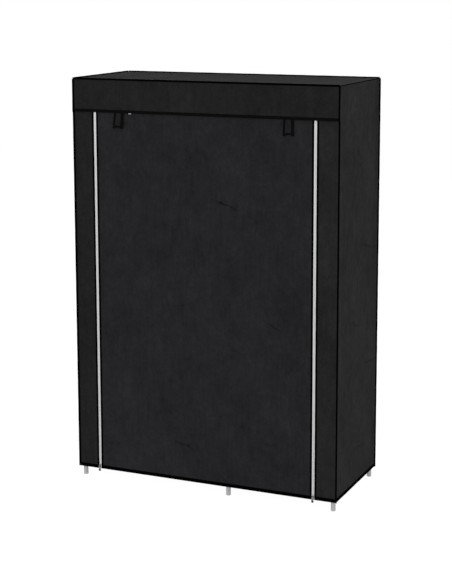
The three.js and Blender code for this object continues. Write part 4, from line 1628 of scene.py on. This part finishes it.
    def build(self) -> None:
        """Builds the uprights, rails, connectors and the hanging rail."""
        for row in ROWS:
            for post in POSTS:
                self.upright(row, post)
                self.connector("top", row, post)
                self.connector("bottom", row, post)
            for bay, _ in SIDES:
                self.rail(f"top_rail_{row}_{bay}", 0)
        for post in POSTS:
            self.rail(f"top_side_rail_{post}", 1)
            self.rail(f"bottom_side_rail_{post}", 1)
        self.hanging_rail()


@dataclass
class ShelfSet:
    """The shelves: cloth sewn round a front and a back tube, held by clamps or by the bottom connectors."""

    sag: float = 5 * MM
    ripple: float = 0.4 * MM
    swell: float = 0.12 * MM
    stitch_pitch: float = 5 * MM
    row_short: float = 2 * MM
    cell: float = 10 * MM
    hem_radius: float = 9.2 * MM
    wrap: float = 0.8  # how much of a turn the cloth goes round each tube
    hem_inset: float = 14 * MM
    span: float = 428 * MM
    margins: Pair = (28 * MM, 37 * MM)
    tube_radius: float = 8 * MM
    tube_wall: float = 0.9 * MM
    clamp_radius: float = 10.7 * MM
    clamp_wall: float = 2.3 * MM
    stub: Pair = (9.5 * MM, 26 * MM)
    stub_radius: float = 10.4 * MM
    sides: int = 28

    def shelf(self, node: str, clamped: bool) -> None:
        """Makes one shelf.

        The sheet sags between its hems as a product of a sine arch from front to back and a flatter one
        from side to side.

        Args:
            node: the CAD node that it replaces.
            clamped: whether its tubes end in clamps round the uprights.
        """
        low, high = node_box(node)
        ys = [node_box(f"upright_{row}_left").middle[1] for row in ROWS]
        z = (low[2] + high[2]) / 2 if clamped else high[2] - self.hem_radius
        margin = self.margins[clamped]
        ends = (low[0] + margin, high[0] - margin)
        places, top = steps(*ends, STRIP_CELL), z + self.hem_radius
        u, v = np.meshgrid(places, steps(*ys, self.cell))
        s, t = (u - ends[0]) / (ends[1] - ends[0]), (v - ys[0]) / (ys[1] - ys[0])
        sag = self.sag * np.sin(math.pi * t) * (0.55 + 0.45 * np.sin(math.pi * s))
        outer = line(u, v, top - sag - self.ripple * np.sin(25 * u) * t * (1 - t))
        shape = Shape(self.sides).slab(outer, outer - CLOTH * ALONG_Z, np.stack([u, v], -1))
        thread, clamps, tubes = Shape(), Shape(self.sides), Shape(self.sides)
        swell = np.stack([self.hem_radius + self.swell * np.sin(90 * places), places], -1)
        fall = self.sag * math.sin(math.pi * self.hem_inset / self.span) * 0.55 - 0.1 * MM
        for y, way in zip(ys, (-1, 1)):
            shape.turn(0, swell, (0, y, z))
            thread.stitches((0.0, y - way * self.hem_inset, top - fall), 0,
                            (ends[0] + self.row_short, ends[1] - self.row_short), ALONG_Z, self.stitch_pitch)
            if not clamped:
                tubes.tube(0, low[0], high[0], self.tube_radius, self.tube_wall, (0, y, z))
                continue
            for x, side in ((low[0] + self.clamp_radius, 1), (high[0] - self.clamp_radius, -1)):
                clamps.tube(2, low[2], high[2], self.clamp_radius, self.clamp_wall, (x, y, 0))
                start, end = sorted(x + side * reach for reach in self.stub)
                wide, lip = self.stub_radius, 0.5 * MM
                clamps.turn(0, np.array([[wide - lip, start], [wide, start + lip], [wide, end - lip],
                                         [wide - lip, end]]), (0, y, z))
        obj = shape.piece(node + "_cloth", Finish.SHELF, "shelf_cloth", [node])
        thread.piece(node + "_stitches", Finish.THREAD, "shelf_cloth")
        if clamped:
            clamps.piece(node + "_clamps", Finish.CONNECTOR, "connector_plastic")
        else:
            tubes.piece(node + "_tubes", Finish.TUBE, "steel_tube")

    def build(self) -> None:
        """Builds the five shelves."""
        for name in ("left_bottom", "right_bottom", "right_lower", "right_middle", "right_upper"):
            self.shelf(f"shelf_{name}", not name.endswith("bottom"))


@dataclass
class Studio:
    """The white studio: floor, soft lights, world and the camera at the photograph's viewing angle."""

    eye: tuple[float, float, float] = (2.3224, -5.2426, 1.9939)
    yaw_deg: float = -23.897
    pitch_deg: float = -9.103
    roll_deg: float = -0.139
    lens: float = 90.63
    sensor: float = 36.0
    shift_px: float = -78.0
    frame_px: tuple[int, int] = (452, 584)
    clip: Pair = (0.1, 60.0)
    floor_half: float = 9.0
    floor_thick: float = 10 * MM
    floor_gap: float = 0.2 * MM

    def camera(self) -> None:
        """Sets the camera. It looks along (sin yaw cos pitch, cos yaw cos pitch, sin pitch)."""
        yaw, pitch, roll = (math.radians(a) for a in (self.yaw_deg, self.pitch_deg, self.roll_deg))
        look = np.array([math.sin(yaw) * math.cos(pitch), math.cos(yaw) * math.cos(pitch), math.sin(pitch)])
        level = np.array([math.cos(yaw), -math.sin(yaw), 0.0])
        right = level * math.cos(roll) + np.cross(level, look) * math.sin(roll)
        data = bpy.data.cameras.new("camera")
        data.lens, data.sensor_width, data.sensor_fit = self.lens, self.sensor, "AUTO"
        data.shift_y = self.shift_px / max(self.frame_px)
        data.dof.use_dof = False
        data.clip_start, data.clip_end = self.clip
        bpy.context.scene.camera = self.hang("camera", data, right, np.cross(right, look), -look, self.eye)

    def hang(self, name: str, data: bpy.types.ID, right: Array, up: Array, back: Array,
             where: Sequence[float]) -> bpy.types.Object:
        """Hangs the camera or a light in the scene.

        Args:
            name: the object's name.
            data: its camera or light.
            right: the way of its own X axis.
            up: the way of its Y axis.
            back: the way of its Z axis, which it looks away from.
            where: its place.

        Returns:
            The object.
        """
        obj = bpy.data.objects.new(name, data)
        bpy.context.scene.collection.objects.link(obj)
        obj.matrix_world = Matrix([*np.stack([right, up, back, where], -1).tolist(), [0, 0, 0, 1]])
        return obj

    def light(self, name: str, where: Sequence[float], target: Sequence[float], size: float,
              power: float) -> None:
        """Hangs one square soft light.

        Args:
            name: its name.
            where: its place.
            target: what it faces.
            size: its side.
            power: its power in watts.
        """
        data = bpy.data.lights.new(name, "AREA")
        data.shape, data.size, data.energy = "SQUARE", size, power
        away = np.subtract(where, target)
        away /= np.linalg.norm(away)
        right = np.cross(ALONG_Z, away)
        right /= np.linalg.norm(right)
        self.hang(name, data, right, np.cross(away, right), away, where)

    def floor(self) -> None:
        """Lays the wide sheet of paper that the wardrobe stands on."""
        u, v = np.meshgrid(*[np.linspace(-self.floor_half, self.floor_half, 19)] * 2)
        top = line(u, v, -self.floor_gap)
        sheet = Shape().slab(top, top - self.floor_thick * ALONG_Z, np.stack([u, v], -1))
        sheet.made("floor", Finish.FLOOR)

    def world(self) -> None:
        """Sets an even white surround, and the plain view that keeps white white."""
        scene = bpy.context.scene
        scene.view_settings.view_transform, scene.view_settings.look = "Standard", "None"
        scene.world = bpy.data.worlds.new("white_surround")
        scene.world.use_nodes = True
        tree = scene.world.node_tree
        tree.nodes.clear()
        back = add_node(tree, "Background", {"Color": linear("#ffffff"), "Strength": 1.0})[0]
        add_node(tree, "OutputWorld", {"Surface": back})

    def build(self) -> None:
        """Builds the studio."""
        self.camera()
        self.world()
        self.floor()
        self.light("key_light", (-2.6, -4.0, 3.6), (0, 0, 0.9), 2.4, 22.0)
        self.light("side_light", (4.4, -1.2, 2.8), (0.3, 0, 0.9), 2.2, 12.0)


def main() -> None:
    """Builds the wardrobe round its frame, in order."""
    logging.basicConfig(level=logging.INFO, format="%(message)s")
    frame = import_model()
    shell = CoverShell()
    for part in (Studio(), shell, Bindings(shell), RollDoor(frame["joints"]), ZipLine(),
                 TieStrap("left", 0.0, (-5 * MM, -1.5 * MM)), TieStrap("right", 3 * MM, (-1 * MM, 4 * MM)),
                 HemClip(), TubeFrame(), ShelfSet()):
        part.build()
    bpy.context.view_layer.update()


if __name__ == "__main__":
    main()
